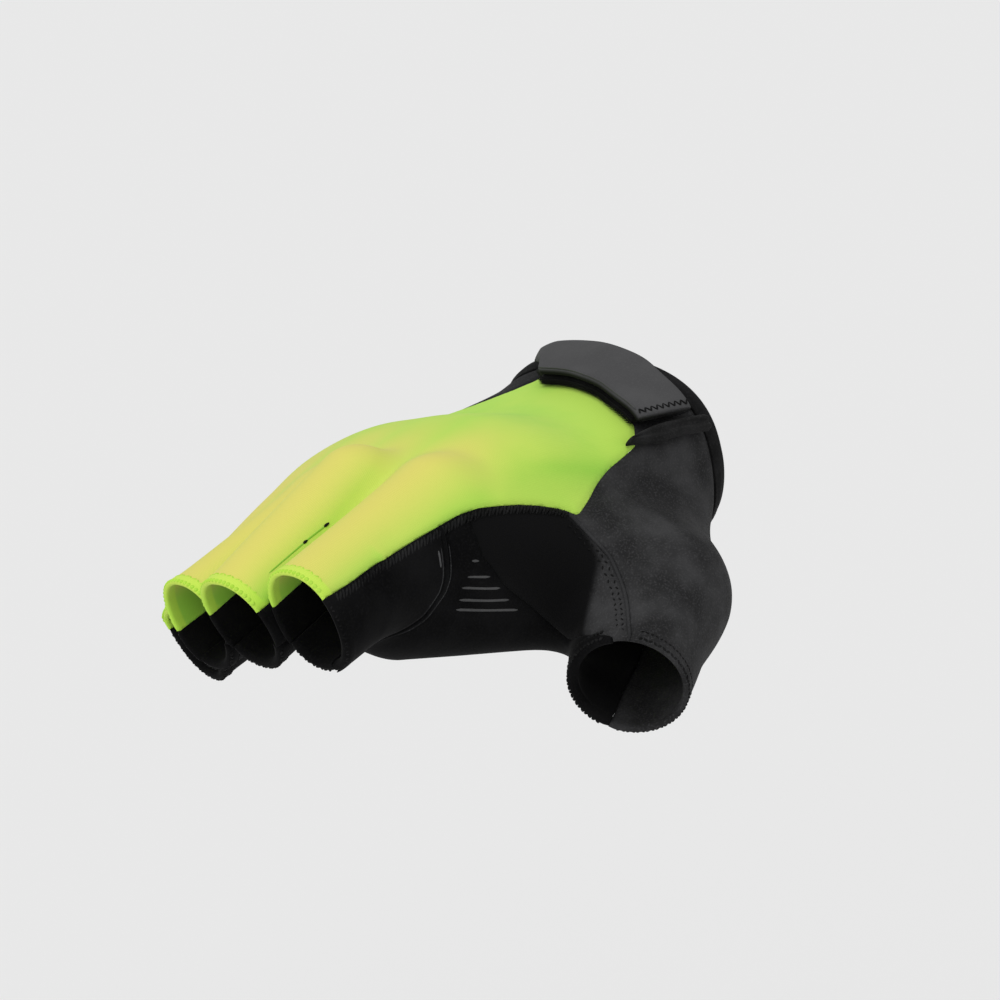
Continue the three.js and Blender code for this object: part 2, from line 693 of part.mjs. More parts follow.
// A closed strip of cloth over a grid of places; at(i, j, top) gives each corner
function clothStrip(rows, columns, at) {
  const count = (rows + 1) * (columns + 1);
  const points = [];
  const faces = [];
  for (const top of [true, false]) {
    for (let i = 0; i <= rows; i += 1) {
      for (let j = 0; j <= columns; j += 1) points.push(at(i / rows, j / columns, top));
    }
  }
  const corner = (i, j) => i * (columns + 1) + j;
  const quad = (a, b, c, d) => faces.push([a, b, c], [a, c, d]);
  for (let i = 0; i < rows; i += 1) {
    for (let j = 0; j < columns; j += 1) {
      const ring = [corner(i, j), corner(i, j + 1), corner(i + 1, j + 1), corner(i + 1, j)];
      quad(...ring.slice().reverse());
      quad(...ring.map((p) => p + count));
    }
  }
  const side = (a, b) => quad(a, b, b + count, a + count);
  for (let j = 0; j < columns; j += 1) {
    side(corner(0, j), corner(0, j + 1));
    side(corner(rows, j + 1), corner(rows, j));
  }
  for (let i = 0; i < rows; i += 1) {
    side(corner(i + 1, 0), corner(i, 0));
    side(corner(i, columns), corner(i + 1, columns));
  }
  return { points, faces };
}

// The closure lies round the back of the wrist: the tab from its anchor to its free end. The wrist
// edge of the tab is a table by angle; angles count from the thumb side over the back.
const tabEdge = [
  { angle: 20, along: 0.108 }, { angle: 26, along: 0.098 }, { angle: 36, along: 0.09 },
  { angle: 48, along: 0.072 }, { angle: 60, along: 0.062 }, { angle: 80, along: 0.05 },
  { angle: 120, along: 0.046 },
];
const anchorAngle = 23;
const tabEndAngle = 120;
const tabEndSlant = 14;
const tabNarrow = 0.14;
// The two long edges of the anchor band, from the wrist to its tip
const anchorEdges = [
  { along: 0.07, upper: 21.2, lower: 15.5 }, { along: 0.18, upper: 21.2, lower: 16 },
  { along: 0.21, upper: 21, lower: 15.3 }, { along: 0.25, upper: 20.2, lower: 16.3 },
  { along: 0.298, upper: 18.8, lower: 17.6 },
];
const tabLift = layerGap + hookWall + layerGap;
const tabSteps = { round: 22, across: 5 };
const hookSteps = { round: 18, across: 3 };
const anchorSteps = { along: 8, across: 3 };

// The two long edges of the tab at an angle, without its rounded corners
function tabEdges(angle) {
  const share = (angle - anchorAngle) / (tabEndAngle - anchorAngle);
  const from = readSmooth(tabEdge, 'angle', 'along', angle) * palmLength;
  return { from, to: from + tabWidth * (1 - tabNarrow * share) };
}

// How far the rounded corners draw a strip's edges in, near its free end
function cornerInset(rest, radius) {
  const short = Math.max(radius - rest, 0);
  return radius - Math.sqrt(Math.max(radius * radius - short * short, 0));
}

function closureTab() {
  const length = ((tabEndAngle - anchorAngle) * degree) * (palmDepth * 0.62);
  return clothStrip(tabSteps.round, tabSteps.across, (u, v, top) => {
    const inset = cornerInset((1 - u) * length, cornerRadius);
    const angle = anchorAngle + (tabEndAngle - anchorAngle) * u;
    const { from, to } = tabEdges(angle);
    const x = from + inset + (to - from - 2 * inset) * v;
    const slanted = angle + tabEndSlant * u * (0.5 - v);
    return wristPoint(x, slanted * degree, tabLift + (top ? tabWall : 0));
  });
}

// Where the raised cuff ends at an angle, with room for the layer beside it
function beyondCuff(x, angle) {
  const level = wristPoint(x, angle * degree, 0)[2];
  const room = cuffWidth + 2 * seamGap;
  return (room + level * Math.sin(openingTilt * degree)) / Math.cos(openingTilt * degree);
}

function hookPatch() {
  const start = anchorAngle + 3;
  const end = tabEndAngle - 3;
  return clothStrip(hookSteps.round, hookSteps.across, (u, v, top) => {
    const angle = start + (end - start) * u;
    const { from, to } = tabEdges(angle);
    const near = Math.max(from + hookInset, beyondCuff(from, angle));
    const x = near + (to - hookInset - near) * v;
    const slanted = angle + tabEndSlant * u * (0.5 - v);
    return wristPoint(x, slanted * degree, layerGap + (top ? hookWall : 0));
  });
}

function anchorBand() {
  return clothStrip(anchorSteps.along, anchorSteps.across, (u, v, top) => {
    const start = anchorEdges[0].along;
    const along = start + (anchorEdges[anchorEdges.length - 1].along - start) * u;
    const upper = readTable(anchorEdges, 'along', 'upper', along);
    const lower = readTable(anchorEdges, 'along', 'lower', along);
    const angle = (upper + (lower - upper) * v) * degree;
    return wristPoint(along * palmLength, angle, layerGap + (top ? anchorWall : 0));
  });
}

// Cloth colours
const green = { color: 0xb4e05a, roughness: 0.75 };
const matte = { color: 0x303032, roughness: 0.9 };
const suede = { color: 0x161617, roughness: 0.85 };
const grey = { color: 0x47474a, roughness: 0.65 };
const black = { color: 0x101011, roughness: 0.95 };

function namedMesh(name, look, { points, faces }) {
  const geometry = new THREE.BufferGeometry();
  geometry.setAttribute('position', new THREE.Float32BufferAttribute(points.flat(), 3));
  geometry.setIndex(faces.flat());
  geometry.computeVertexNormals();
  const mesh = new THREE.Mesh(geometry, new THREE.MeshStandardMaterial({ metalness: 0, ...look }));
  mesh.name = name;
  return mesh;
}

const surface = cutGlove();
const glove = new THREE.Group();
const panel = (name, look, wall, raise) => {
  glove.add(namedMesh(name, look, clothPanel(surface, name, wall, raise)));
};
panel('back_panel', green, backWall, 0);
panel('palm_panel', suede, palmWall, 0);
panel('thumb_panel', matte, sideWall, 0);
panel('thumb_gusset', suede, sideWall, 0);
panel('index_side_patch', suede, palmWall, 0.3);
gaps.forEach((k) => panel(fourchetteName(k), black, backWall, 0));
panel('cuff_band', matte, sideWall + cuffRaise, cuffRaise);
panel('loop_panel', matte, sideWall, 0);
glove.add(namedMesh('hook_patch', black, hookPatch()));
glove.add(namedMesh('closure_tab', grey, closureTab()));
glove.add(namedMesh('anchor_band', matte, anchorBand()));

export default glove;
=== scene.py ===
import math

import bpy
import numpy as np
from mathutils import Matrix, kdtree, noise


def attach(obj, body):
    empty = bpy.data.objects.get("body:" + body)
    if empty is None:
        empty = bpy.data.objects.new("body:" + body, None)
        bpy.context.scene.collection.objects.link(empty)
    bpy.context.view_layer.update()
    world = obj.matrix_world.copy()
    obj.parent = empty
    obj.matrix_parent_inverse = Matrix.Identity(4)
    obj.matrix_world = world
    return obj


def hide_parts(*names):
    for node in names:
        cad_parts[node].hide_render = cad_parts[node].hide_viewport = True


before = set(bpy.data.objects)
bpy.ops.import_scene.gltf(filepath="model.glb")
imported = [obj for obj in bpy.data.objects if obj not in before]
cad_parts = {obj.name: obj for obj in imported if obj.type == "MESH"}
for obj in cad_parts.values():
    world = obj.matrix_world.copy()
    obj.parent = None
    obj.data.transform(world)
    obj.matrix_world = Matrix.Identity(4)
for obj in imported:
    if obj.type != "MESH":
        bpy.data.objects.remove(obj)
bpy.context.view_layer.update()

# Back panel. It is one piece of thin, bright stretch jersey, drawn tight over the back of the glove
# and sewn round its edge. All panels are cut from one shell in the glove's worn form, so that
# neighbours meet at the same line. The shell is worked out here, in millimetres.
mm = 0.001
palm_length = 100
palm_depth = 41
finger_width = 19.8
finger_gap = 0.8
finger_length = 41
finger_depth = 25
thumb_length = 66
thumb_width = 24
opening_tilt = math.radians(12)
blend = 4
net_cell = 1.6
finger_pitch = finger_width + finger_gap
palm_width = 4 * finger_pitch


def named_columns(names, rows):
    return dict(zip(names.split(), np.array(rows, float).T))


# Sections of the palm: station is a share of palm_length, half and side of palm_width, the rest of palm_depth
palm_sections = named_columns("station side rise half up down roll", [
    (-0.16, 0.003, 0.02, 0.344, 0.49, 0.5, 0),
    (-0.02, -0.003, 0.1, 0.39, 0.51, 0.52, 2),
    (0.15, -0.008, 0.03, 0.425, 0.435, 0.595, 5),
    (0.35, -0.057, 0, 0.48, 0.378, 0.605, 8),
    (0.55, -0.077, 0.046, 0.514, 0.38, 0.58, 11),
    (0.75, -0.045, -0.049, 0.485, 0.347, 0.533, 13),
    (0.9, -0.047, -0.175, 0.47, 0.255, 0.41, 13),
    (1.0, -0.055, -0.28, 0.45, 0.19, 0.272, 13),
])
# Fingers: root is a share of palm_length, rise of palm_depth, side and mouth_side of finger_pitch,
# reach and drop of finger_length, and the rest are shares of finger_width or finger_depth
finger_names = ("index", "middle", "ring", "little")
finger_sizes = named_columns(
    "root side rise reach mouth_side drop root_width mouth_width root_depth mouth_depth", [
        (0.77, 1.165, 0.12, 0.95, 1.26, 0.33, 0.54, 0.495, 0.5, 0.475),
        (0.805, 0.218, 0.146, 0.89, 0.257, 0.44, 0.54, 0.495, 0.52, 0.465),
        (0.75, -0.67, -0.08, 0.925, -0.743, 0.315, 0.53, 0.49, 0.5, 0.44),
        (0.7, -1.511, -0.309, 0.73, -1.69, 0.336, 0.5, 0.44, 0.44, 0.39),
    ])
# Rounded volumes of the thumb, the web and the pads: along is a share of palm_length, side of palm_width,
# rise of palm_depth and radius of thumb_width; the thumb's joints are shares of thumb_length from its base
thumb_base = (0.071, 0.156, -0.229, 0.494)
web_root = (0.415, 0.455, -0.298, 0.4)
web_end = (0.696, 0.364, -0.087, 0.378)
pad_front = (0.865, 0.24, -0.343, 0.419)
pad_heel = (0.461, 0.344, -0.446, 0.511)
thumb_knuckle = (0.413, 0.425, -0.172, 0.677)
thumb_mouth = (0.76, 0.658, -0.345, 0.465)


def unit(vectors):
    length = np.linalg.norm(vectors, axis=-1, keepdims=True)
    return vectors / np.maximum(length, 1e-9)


def smooth_union(a, b, radius):
    share = np.clip(0.5 + 0.5 * (b - a) / radius, 0, 1)
    return b * (1 - share) + a * share - radius * share * (1 - share)


def read_smooth(table, start, column, value):
    """Reads a table with eased slopes, so that the form has no bands."""
    xs = table[start]
    ys = table[column]
    before = np.maximum(np.arange(len(xs)) - 1, 0)
    after = np.minimum(np.arange(len(xs)) + 1, len(xs) - 1)
    slope = (ys[after] - ys[before]) / (xs[after] - xs[before])
    value = np.clip(value, xs[0], xs[-1])
    i = np.clip(np.searchsorted(xs, value, "right") - 1, 0, len(xs) - 2)
    span = xs[i + 1] - xs[i]
    rise = ys[i + 1] - ys[i]
    t = (value - xs[i]) / span
    bend = (slope[i] * span - rise) * (1 - t) - (slope[i + 1] * span - rise) * t
    return ys[i] + rise * t + t * (1 - t) * bend


def smooth_step(value, start, end):
    share = np.clip((value - start) / (end - start), 0, 1)
    return share * share * (3 - 2 * share)


def palm_field(p):
    station = p[:, 0] / palm_length
    side, rise, half, up, down, roll = [
        read_smooth(palm_sections, "station", column, station)
        for column in ("side", "rise", "half", "up", "down", "roll")
    ]
    angle = np.radians(roll)
    y = p[:, 1] - side * palm_width
    z = p[:, 2] - rise * palm_depth
    across = y * np.cos(angle) + z * np.sin(angle)
    height = z * np.cos(angle) - y * np.sin(angle)
    half = half * palm_width
    tall = np.where(height > 0, up, down) * palm_depth
    squareness = 2.4
    ring = (np.abs(across / half) ** squareness + np.abs(height / tall) ** squareness) ** (1 / squareness)
    eased = smooth_step(0.5 + height / (0.3 * palm_depth), 0, 1)
    scale = (down + (up - down) * eased) * palm_depth
    wall = (ring - 1) * np.minimum(half, scale) * 0.95
    ends = np.maximum(p[:, 0] - palm_length, palm_sections["station"][0] * palm_length - p[:, 0])
    return np.maximum(wall, ends)


def finger_frame(k):
    row = {column: values[k] for column, values in finger_sizes.items()}
    root = np.array([row["root"] * palm_length, row["side"] * finger_pitch, row["rise"] * palm_depth])
    step = [
        row["reach"] * finger_length,
        (row["mouth_side"] - row["side"]) * finger_pitch,
        -row["drop"] * finger_length,
    ]
    mouth = root + step
    along = unit(mouth - root)
    up = unit(np.array([0, 0, 1.0]) - along * along[2])
    length = np.linalg.norm(mouth - root)
    return {"row": row, "root": root, "mouth": mouth, "along": along, "up": up,
            "side": np.cross(up, along), "length": length}


finger_frames = [finger_frame(k) for k in range(len(finger_names))]
coarse_cell = 4.3


def finger_field(p, place):
    q = p - place["root"]
    t = q @ place["along"]
    share = np.clip(t / place["length"], -0.3, 1.3)
    row = place["row"]
    half = (row["root_width"] + (row["mouth_width"] - row["root_width"]) * share) * finger_width
    tall = (row["root_depth"] + (row["mouth_depth"] - row["root_depth"]) * share) * finger_depth
    roundness = 2.2
    ring = np.abs(q @ place["side"] / half) ** roundness + np.abs(q @ place["up"] / tall) ** roundness
    wall = (ring ** (1 / roundness) - 1) * np.minimum(half, tall)
    end = np.maximum(wall, t - place["length"] - 2 * coarse_cell)
    return np.where(t >= 0, end, np.hypot(np.maximum(wall + half, 0), t) - half)


def palm_ball(row):
    return np.array([row[0] * palm_length, row[1] * palm_width, row[2] * palm_depth]), row[3] * thumb_width


def thumb_ball(row):
    return palm_ball(thumb_base)[0] + np.array(row[:3]) * thumb_length, row[3] * thumb_width


thumb_along = unit(thumb_ball(thumb_mouth)[0] - thumb_ball(thumb_knuckle)[0])
thumb_tip = (thumb_ball(thumb_mouth)[0] + thumb_along * 3 * coarse_cell, thumb_ball(thumb_mouth)[1])


def rod_field(p, a, b):
    axis = b[0] - a[0]
    q = p - a[0]
    share = np.clip(q @ axis / (axis @ axis), 0, 1)
    return np.linalg.norm(q - share[:, None] * axis, axis=1) - (a[1] + (b[1] - a[1]) * share)


def form_field(p):
    """The outer form of the glove: negative inside, about the distance in millimetres outside."""
    field = palm_field(p)
    knuckle = thumb_ball(thumb_knuckle)
    thumb_rods = (rod_field(p, palm_ball(thumb_base), knuckle), rod_field(p, knuckle, thumb_tip))
    thumb = smooth_union(*thumb_rods, 1.5 * blend)
    field = smooth_union(field, thumb, 2.2 * blend)
    field = smooth_union(field, rod_field(p, palm_ball(web_root), palm_ball(web_end)), 2.5 * blend)
    field = smooth_union(field, rod_field(p, palm_ball(pad_front), palm_ball(pad_heel)), 2 * blend)
    finger = np.min([finger_field(p, place) for place in finger_frames], axis=0)
    return smooth_union(field, finger, blend)


def form_normal(p):
    reach = 0.3
    steps = reach * np.eye(3)
    return unit(np.stack([form_field(p + step) - form_field(p - step) for step in steps], axis=1))


def axis_at(k, x):
    """Where a finger's axis lies at a station along the glove: side and level."""
    place = finger_frames[k]
    share = np.maximum((x - place["root"][0]) / (place["mouth"][0] - place["root"][0]), 0)
    step = place["mouth"] - place["root"]
    return place["root"][1] + step[1] * share, place["root"][2] + step[2] * share


def gap_at(k, x):
    """The middle of the gap between a finger and the next one."""
    a = axis_at(k, x)
    b = axis_at(k + 1, x)
    return (a[0] + b[0]) / 2, (a[1] + b[1]) / 2


# The sample grid. Its lines pass through the middles of the gaps, so that the gaps stay open.
grid_x = np.arange(-6 * net_cell, max(place["mouth"][0] for place in finger_frames) + 8, net_cell)
grid_z = np.arange(-1.3 * palm_depth, 0.7 * palm_depth, net_cell)
grid_marks = np.stack(
    [np.full_like(grid_x, -0.64 * palm_width)]
    + [gap_at(k, grid_x)[0] for k in (2, 1, 0)]
    + [np.full_like(grid_x, 0.94 * palm_width)], axis=1)
grid_widths = (0.32 * palm_width, finger_pitch, finger_pitch, 0.75 * palm_width)
grid_spans = [round(width / net_cell) for width in grid_widths]
grid_y = np.concatenate([
    grid_marks[:, n:n + 1] + (grid_marks[:, n + 1] - grid_marks[:, n])[:, None] * np.arange(count) / count
    for n, count in enumerate(grid_spans)
] + [grid_marks[:, -1:]], axis=1)
grid_shape = (len(grid_x), grid_y.shape[1], len(grid_z))
grid_points = np.stack([
    np.broadcast_to(grid_x[:, None, None], grid_shape),
    np.broadcast_to(grid_y[:, :, None], grid_shape),
    np.broadcast_to(grid_z[None, None, :], grid_shape),
], axis=-1)
grid_value = form_field(grid_points.reshape(-1, 3)).reshape(grid_shape)

# A cell's corners are numbered by their three steps, and its edges are pairs of corners
corner_steps = np.array([[n >> 2, (n >> 1) & 1, n & 1] for n in range(8)])


def corner_distance(a, b):
    return abs(corner_steps[a] - corner_steps[b]).sum()


def corner_pairs(distance):
    return [(a, b) for a in range(8) for b in range(a + 1, 8) if corner_distance(a, b) == distance]


cell_edges = corner_pairs(1)
cell_diagonals = corner_pairs(2)


def corner_groups(inside):
    """The corners of a cell that hang together, so that two sheets in one cell stay two sheets."""
    group = list(range(8))

    def join(a, b):
        group[:] = [group[a] if value == group[b] else value for value in group]

    for a, b in cell_edges:
        if inside[a] == inside[b]:
            join(a, b)
    for a, b in cell_diagonals:
        others = [n for n in range(8) if corner_distance(a, n) == 1 and corner_distance(b, n) == 1]
        if not inside[a] and not inside[b] and all(inside[n] for n in others):
            join(a, b)
    return group


sheet_of = np.full((256, len(cell_edges)), -1)
sheet_count = np.zeros(256, int)
for config in range(256):
    inside = [bool(config >> n & 1) for n in range(8)]
    group = corner_groups(inside)
    sheets = []
    for edge, (a, b) in enumerate(cell_edges):
        if inside[a] != inside[b]:
            pair = (group[a], group[b]) if inside[a] else (group[b], group[a])
            if pair not in sheets:
                sheets.append(pair)
            sheet_of[config, edge] = sheets.index(pair)
    sheet_count[config] = len(sheets)


def form_net():
    """The form's surface as points and triangles, one point for each sheet in each cell."""
    inside = grid_value < 0
    size = np.array(grid_shape) - 1

    def at_corner(array, n):
        i, j, k = corner_steps[n]
        return array[i:i + size[0], j:j + size[1], k:k + size[2]]

    config = sum(at_corner(inside, n).astype(int) << n for n in range(8))
    base = np.concatenate([[0], np.cumsum(sheet_count[config].ravel())])
    first = base[:-1].reshape(config.shape)
    sums = np.zeros((base[-1], 3))
    counts = np.zeros(base[-1])
    for edge, (a, b) in enumerate(cell_edges):
        crossed = at_corner(inside, a) != at_corner(inside, b)
        va = at_corner(grid_value, a)[crossed]
        vb = at_corner(grid_value, b)[crossed]
        pa = at_corner(grid_points, a)[crossed]
        pb = at_corner(grid_points, b)[crossed]
        place = pa + (pb - pa) * (va / (va - vb))[:, None]
        number = first[crossed] + sheet_of[config[crossed], edge]
        np.add.at(sums, number, place)
        np.add.at(counts, number, 1)
    points = sums / counts[:, None]
    quads = []
    for axis in range(3):
        b = (axis + 1) % 3
        c = (axis + 2) % 3
        step = np.eye(3, dtype=int)
        nodes = np.argwhere(inside != np.roll(inside, -1, axis))
        nodes = nodes[np.all((nodes > 0) & (nodes < size), axis=1)]
        ring = []
        for back_b, back_c in ((1, 1), (0, 1), (0, 0), (1, 0)):
            cell = nodes - back_b * step[b] - back_c * step[c]
            corner = back_b * step[b] + back_c * step[c]
            low = int(corner @ (4, 2, 1))
            high = int((corner + step[axis]) @ (4, 2, 1))
            place = tuple(cell.T)
            ring.append(first[place] + sheet_of[config[place], cell_edges.index((low, high))])
        ring = np.stack(ring, axis=1)
        outward = inside[tuple(nodes.T)]
        quads.append(np.where(outward[:, None], ring, ring[:, ::-1]))
    quads = np.concatenate(quads)
    span = [np.linalg.norm(points[quads[:, n]] - points[quads[:, n + 2]], axis=1) for n in (0, 1)]
    quads = np.where((span[0] > span[1])[:, None], np.roll(quads, -1, axis=1), quads)
    return points, np.concatenate([quads[:, [0, 1, 2]], quads[:, [0, 2, 3]]])


def on_form(points, rounds=1):
    """Points moved onto the form, by small steps so that none jumps across."""
    longest = 0.6
    for _ in range(rounds):
        step = np.clip(form_field(points), -longest, longest)
        points = points - form_normal(points) * step[:, None]
    return points


def edge_middles(edges, count):
    """One new number for each different edge, and the edge that it belongs to."""
    low = edges.min(axis=1)
    high = edges.max(axis=1)
    keys, number = np.unique(low * np.int64(count) + high, return_inverse=True)
    return number.ravel() + count, np.stack([keys // count, keys % count], axis=1)


def halved(points, faces):
    """Each triangle becomes four."""
    edges = np.concatenate([faces[:, [0, 1]], faces[:, [1, 2]], faces[:, [2, 0]]])
    number, ends = edge_middles(edges, len(points))
    ab, bc, ca = number.reshape(3, -1)
    a, b, c = faces.T
    middles = (points[ends[:, 0]] + points[ends[:, 1]]) / 2
    parts = [(a, ab, ca), (ab, b, bc), (ca, bc, c), (ab, bc, ca)]
    return np.concatenate([points, middles]), np.concatenate([np.stack(part, axis=1) for part in parts])


def evened(points, faces, share=0.6):
    """Each point moves towards the middle of its neighbours and back onto the form."""
    sums = np.zeros_like(points)
    counts = np.zeros(len(points))
    for n in range(3):
        np.add.at(sums, faces[:, n], points[faces[:, (n + 1) % 3]])
        np.add.at(counts, faces[:, n], 1)
    return on_form(points * (1 - share) + sums / np.maximum(counts, 1)[:, None] * share)


shell_points, shell_faces = form_net()
shell_points = on_form(shell_points, 2)
for _ in range(2):
    shell_points = evened(shell_points, shell_faces)
shell_points, shell_faces = halved(shell_points, shell_faces)
for _ in range(2):
    shell_points = evened(shell_points, shell_faces)
shell_panel = np.full(len(shell_faces), "shell", dtype="U32")


def cut_out(name, field):
    """Cuts the part of the shell that lies on the positive side of a field and gives it a name."""
    global shell_points, shell_faces, shell_panel
    own = shell_panel == "shell"
    faces = shell_faces[own]
    points = shell_points.copy()
    value = np.zeros(len(points))
    used = np.unique(faces)
    value[used] = field(points[used])
    edges = np.concatenate([faces[:, pair] for pair in ([0, 1], [1, 2], [2, 0], [1, 0], [2, 1], [0, 2])])
    edges = edges[value[edges[:, 0]] * value[edges[:, 1]] < 0]
    share = value[edges[:, 0]] / (value[edges[:, 0]] - value[edges[:, 1]])
    snapped = 0.14
    close = share < snapped
    a, b = edges[close].T
    points[a] = shell_points[a] + (shell_points[b] - shell_points[a]) * share[close][:, None]
    value[a] = 0
    sign = np.sign(value[faces])
    high = (sign > 0).sum(axis=1)
    low = (sign < 0).sum(axis=1)
    whole = (high == 0) | (low == 0)
    over = high > 0
    flat = (high == 0) & (low == 0)
    if flat.any():
        over[flat] = field(points[faces[flat]].mean(axis=1)) > 0
    kept = [(faces[whole], over[whole])]
    cut = faces[~whole]
    cut_sign = sign[~whole]
    two = (high + low)[~whole] == 2
    lone = np.where(two[:, None], cut_sign == 0, cut_sign == -cut_sign.sum(axis=1, keepdims=True))
    start = lone.argmax(axis=1)
    turn = np.arange(len(cut))
    a, b, c = [cut[turn, (start + n) % 3] for n in range(3)]
    crossing = np.concatenate([
        np.stack([b[two], c[two]], axis=1),
        np.stack([a[~two], b[~two]], axis=1),
        np.stack([a[~two], c[~two]], axis=1),
    ])
    number, ends = edge_middles(crossing, len(points))
    va, vb = value[ends].T
    middles = points[ends[:, 0]] + (points[ends[:, 1]] - points[ends[:, 0]]) * (va / (va - vb))[:, None]
    m = number[:two.sum()]
    ab, ac = number[two.sum():].reshape(2, -1)
    kept.append((np.stack([a[two], b[two], m], axis=1), value[b[two]] > 0))
    kept.append((np.stack([a[two], m, c[two]], axis=1), value[c[two]] > 0))
    a, b, c = a[~two], b[~two], c[~two]
    kept.append((np.stack([a, ab, ac], axis=1), value[a] > 0))
    kept.append((np.stack([ab, b, c], axis=1), value[b] > 0))
    kept.append((np.stack([ab, c, ac], axis=1), value[b] > 0))
    shell_points = np.concatenate([points, middles])
    shell_faces = np.concatenate([shell_faces[~own]] + [part for part, _ in kept])
    names = [np.where(side, name, "shell") for _, side in kept]
    shell_panel = np.concatenate([shell_panel[~own]] + names).astype("U32")


def beyond_finger(p, place):
    """Depth past a finger's mouth, at points nearer this finger's axis than any other finger's."""
    q = p - place["mouth"]
    t = q @ place["along"]
    aside = np.abs(q @ place["side"])
    others = [np.abs((p - other["mouth"]) @ other["side"]) for other in finger_frames]
    far = (aside > 0.75 * finger_width) | (aside > np.min(others, axis=0) + 1e-6) | (t < -finger_length / 3)
    return np.where(far, -1, t)


def beyond_thumb(p):
    q = p - thumb_ball(thumb_mouth)[0]
    t = q @ thumb_along
    away = np.linalg.norm(q - t[:, None] * thumb_along, axis=1)
    return np.where(away > 0.72 * thumb_width, -1, t)


def from_opening(p):
    """How far points lie inside the tilted plane of the wrist opening."""
    return p[:, 0] * math.cos(opening_tilt) - p[:, 2] * math.sin(opening_tilt)


cut_out("opening", lambda p: -from_opening(p))
for finger_place in finger_frames:
    cut_out("opening", lambda p: beyond_finger(p, finger_place))
cut_out("opening", beyond_thumb)


def border_points(name, other):
    """The points that two cut panels share."""
    return np.intersect1d(shell_faces[shell_panel == name], shell_faces[shell_panel == other])


def tree_of(points):
    tree = kdtree.KDTree(len(points))
    for n, point in enumerate(points):
        tree.insert(point, n)
    tree.balance()
    return tree


def distance_to(tree, points):
    return np.array([tree.find(point)[2] for point in points])


mouth_points = shell_points[border_points("shell", "opening")]
mouth_tree = tree_of(mouth_points)
opening_axes = [(np.zeros(3), np.array([-math.cos(opening_tilt), 0, math.sin(opening_tilt)]))]
opening_axes += [(place["mouth"], place["along"]) for place in finger_frames]
opening_axes += [(thumb_ball(thumb_mouth)[0], thumb_along)]


def outward_at(points):
    """The axis of the nearest opening at each point."""
    distance_share = 0.05
    depth = np.stack([
        np.abs((points - centre) @ axis) + distance_share * np.linalg.norm(points - centre, axis=1)
        for centre, axis in opening_axes
    ])
    return np.stack([axis for _, axis in opening_axes])[depth.argmin(axis=0)]


# Edges of the back panel, as shares of palm_length along, palm_depth down and palm_width across
radial_edge = named_columns("along level", [
    (0, 0.36), (0.18, 0.34), (0.277, 0.24), (0.363, 0.18), (0.451, 0.091), (0.523, 0.037),
    (0.566, 0.09), (0.617, 0.131), (0.668, 0.162), (0.718, 0.181), (0.768, 0.191), (0.812, 0.181),
    (0.854, 0.157), (0.938, 0.109), (1.026, 0.049), (1.102, -0.009), (1.2, -0.07),
])
ulnar_edge = named_columns("along level", [
    (0, -0.02), (0.2, -0.08), (0.4, -0.15), (0.6, -0.23), (0.75, -0.32), (0.9, -0.5), (1.05, -0.64),
])
loop_edge = named_columns("side along", [
    (-0.5, 0.3), (-0.27, 0.24), (-0.19, 0.17), (-0.14, 0.115), (-0.1, 0.125), (0.045, 0.157), (0.172, 0.188),
    (0.272, 0.212), (0.349, 0.231), (0.4, 0.27),
])


def read(table, start, column, value):
    return np.interp(value, table[start], table[column])


def back_level(p):
    """The level at which the back panel ends, at any place on the glove."""
    cover = 0.16 * finger_depth
    ulnar_side = -0.48 * palm_width
    radial_side = 0.39 * palm_width
    sides = [np.full(len(p), ulnar_side)]
    levels = [read(ulnar_edge, "along", "level", p[:, 0] / palm_length) * palm_depth]
    for k in (2, 1, 0):
        side, level = gap_at(k, p[:, 0])
        sides.append(side)
        levels.append(level + cover)
    sides.append(np.full(len(p), radial_side))
    levels.append(read(radial_edge, "along", "level", p[:, 0] / palm_length) * palm_depth)
    level = np.where(p[:, 1] < sides[0], levels[0], levels[-1])
    for n in range(len(sides) - 1):
        share = (p[:, 1] - sides[n]) / (sides[n + 1] - sides[n])
        between = (share >= 0) & (share < 1)
        level = np.where(between, levels[n] + (levels[n + 1] - levels[n]) * share, level)
    return level


def over_back(p):
    return p[:, 2] - back_level(p)


def over_loop(p):
    return read(loop_edge, "side", "along", p[:, 1] / palm_width) * palm_length - p[:, 0]


cut_out("back_panel", lambda p: np.minimum(over_back(p), -over_loop(p)))


def drape(points, scale, height, seed):
    """Soft unevenness of worn cloth, drawn out along the glove."""
    stretch = np.array([0.55, 1, 1]) / scale
    return height * np.array([noise.noise(tuple(point * stretch + seed)) for point in points])


def new_piece(name, points, faces):
    mesh = bpy.data.meshes.new(name)
    faces = faces.tolist() if isinstance(faces, np.ndarray) else faces
    mesh.from_pydata((np.asarray(points) * mm).tolist(), [], faces)
    mesh.polygons.foreach_set("use_smooth", np.ones(len(mesh.polygons), bool))
    mesh.update()
    piece = bpy.data.objects.new(name, mesh)
    bpy.context.scene.collection.objects.link(piece)
    return piece


def give_attribute(piece, name, values):
    layer = piece.data.attributes.new(name, "FLOAT", "POINT")
    layer.data.foreach_set("value", np.asarray(values, np.float32))


def round_coordinates(points):
    """Millimetres along the glove and round it, for the weave."""
    level = np.interp(points[:, 0], [0, 80, 125], [0, -3, -14])
    angle = np.arctan2(points[:, 2] - level, 0.62 * points[:, 1])
    return points[:, 0], angle * 0.42 * palm_width


def give_weave(piece, points, coordinates):
    u, v = coordinates(points)
    layer = piece.data.uv_layers.new(name="weave")
    corner = np.empty(len(piece.data.loops), int)
    piece.data.loops.foreach_get("vertex_index", corner)
    layer.data.foreach_set("uv", np.stack([u[corner], v[corner]], axis=1).ravel())


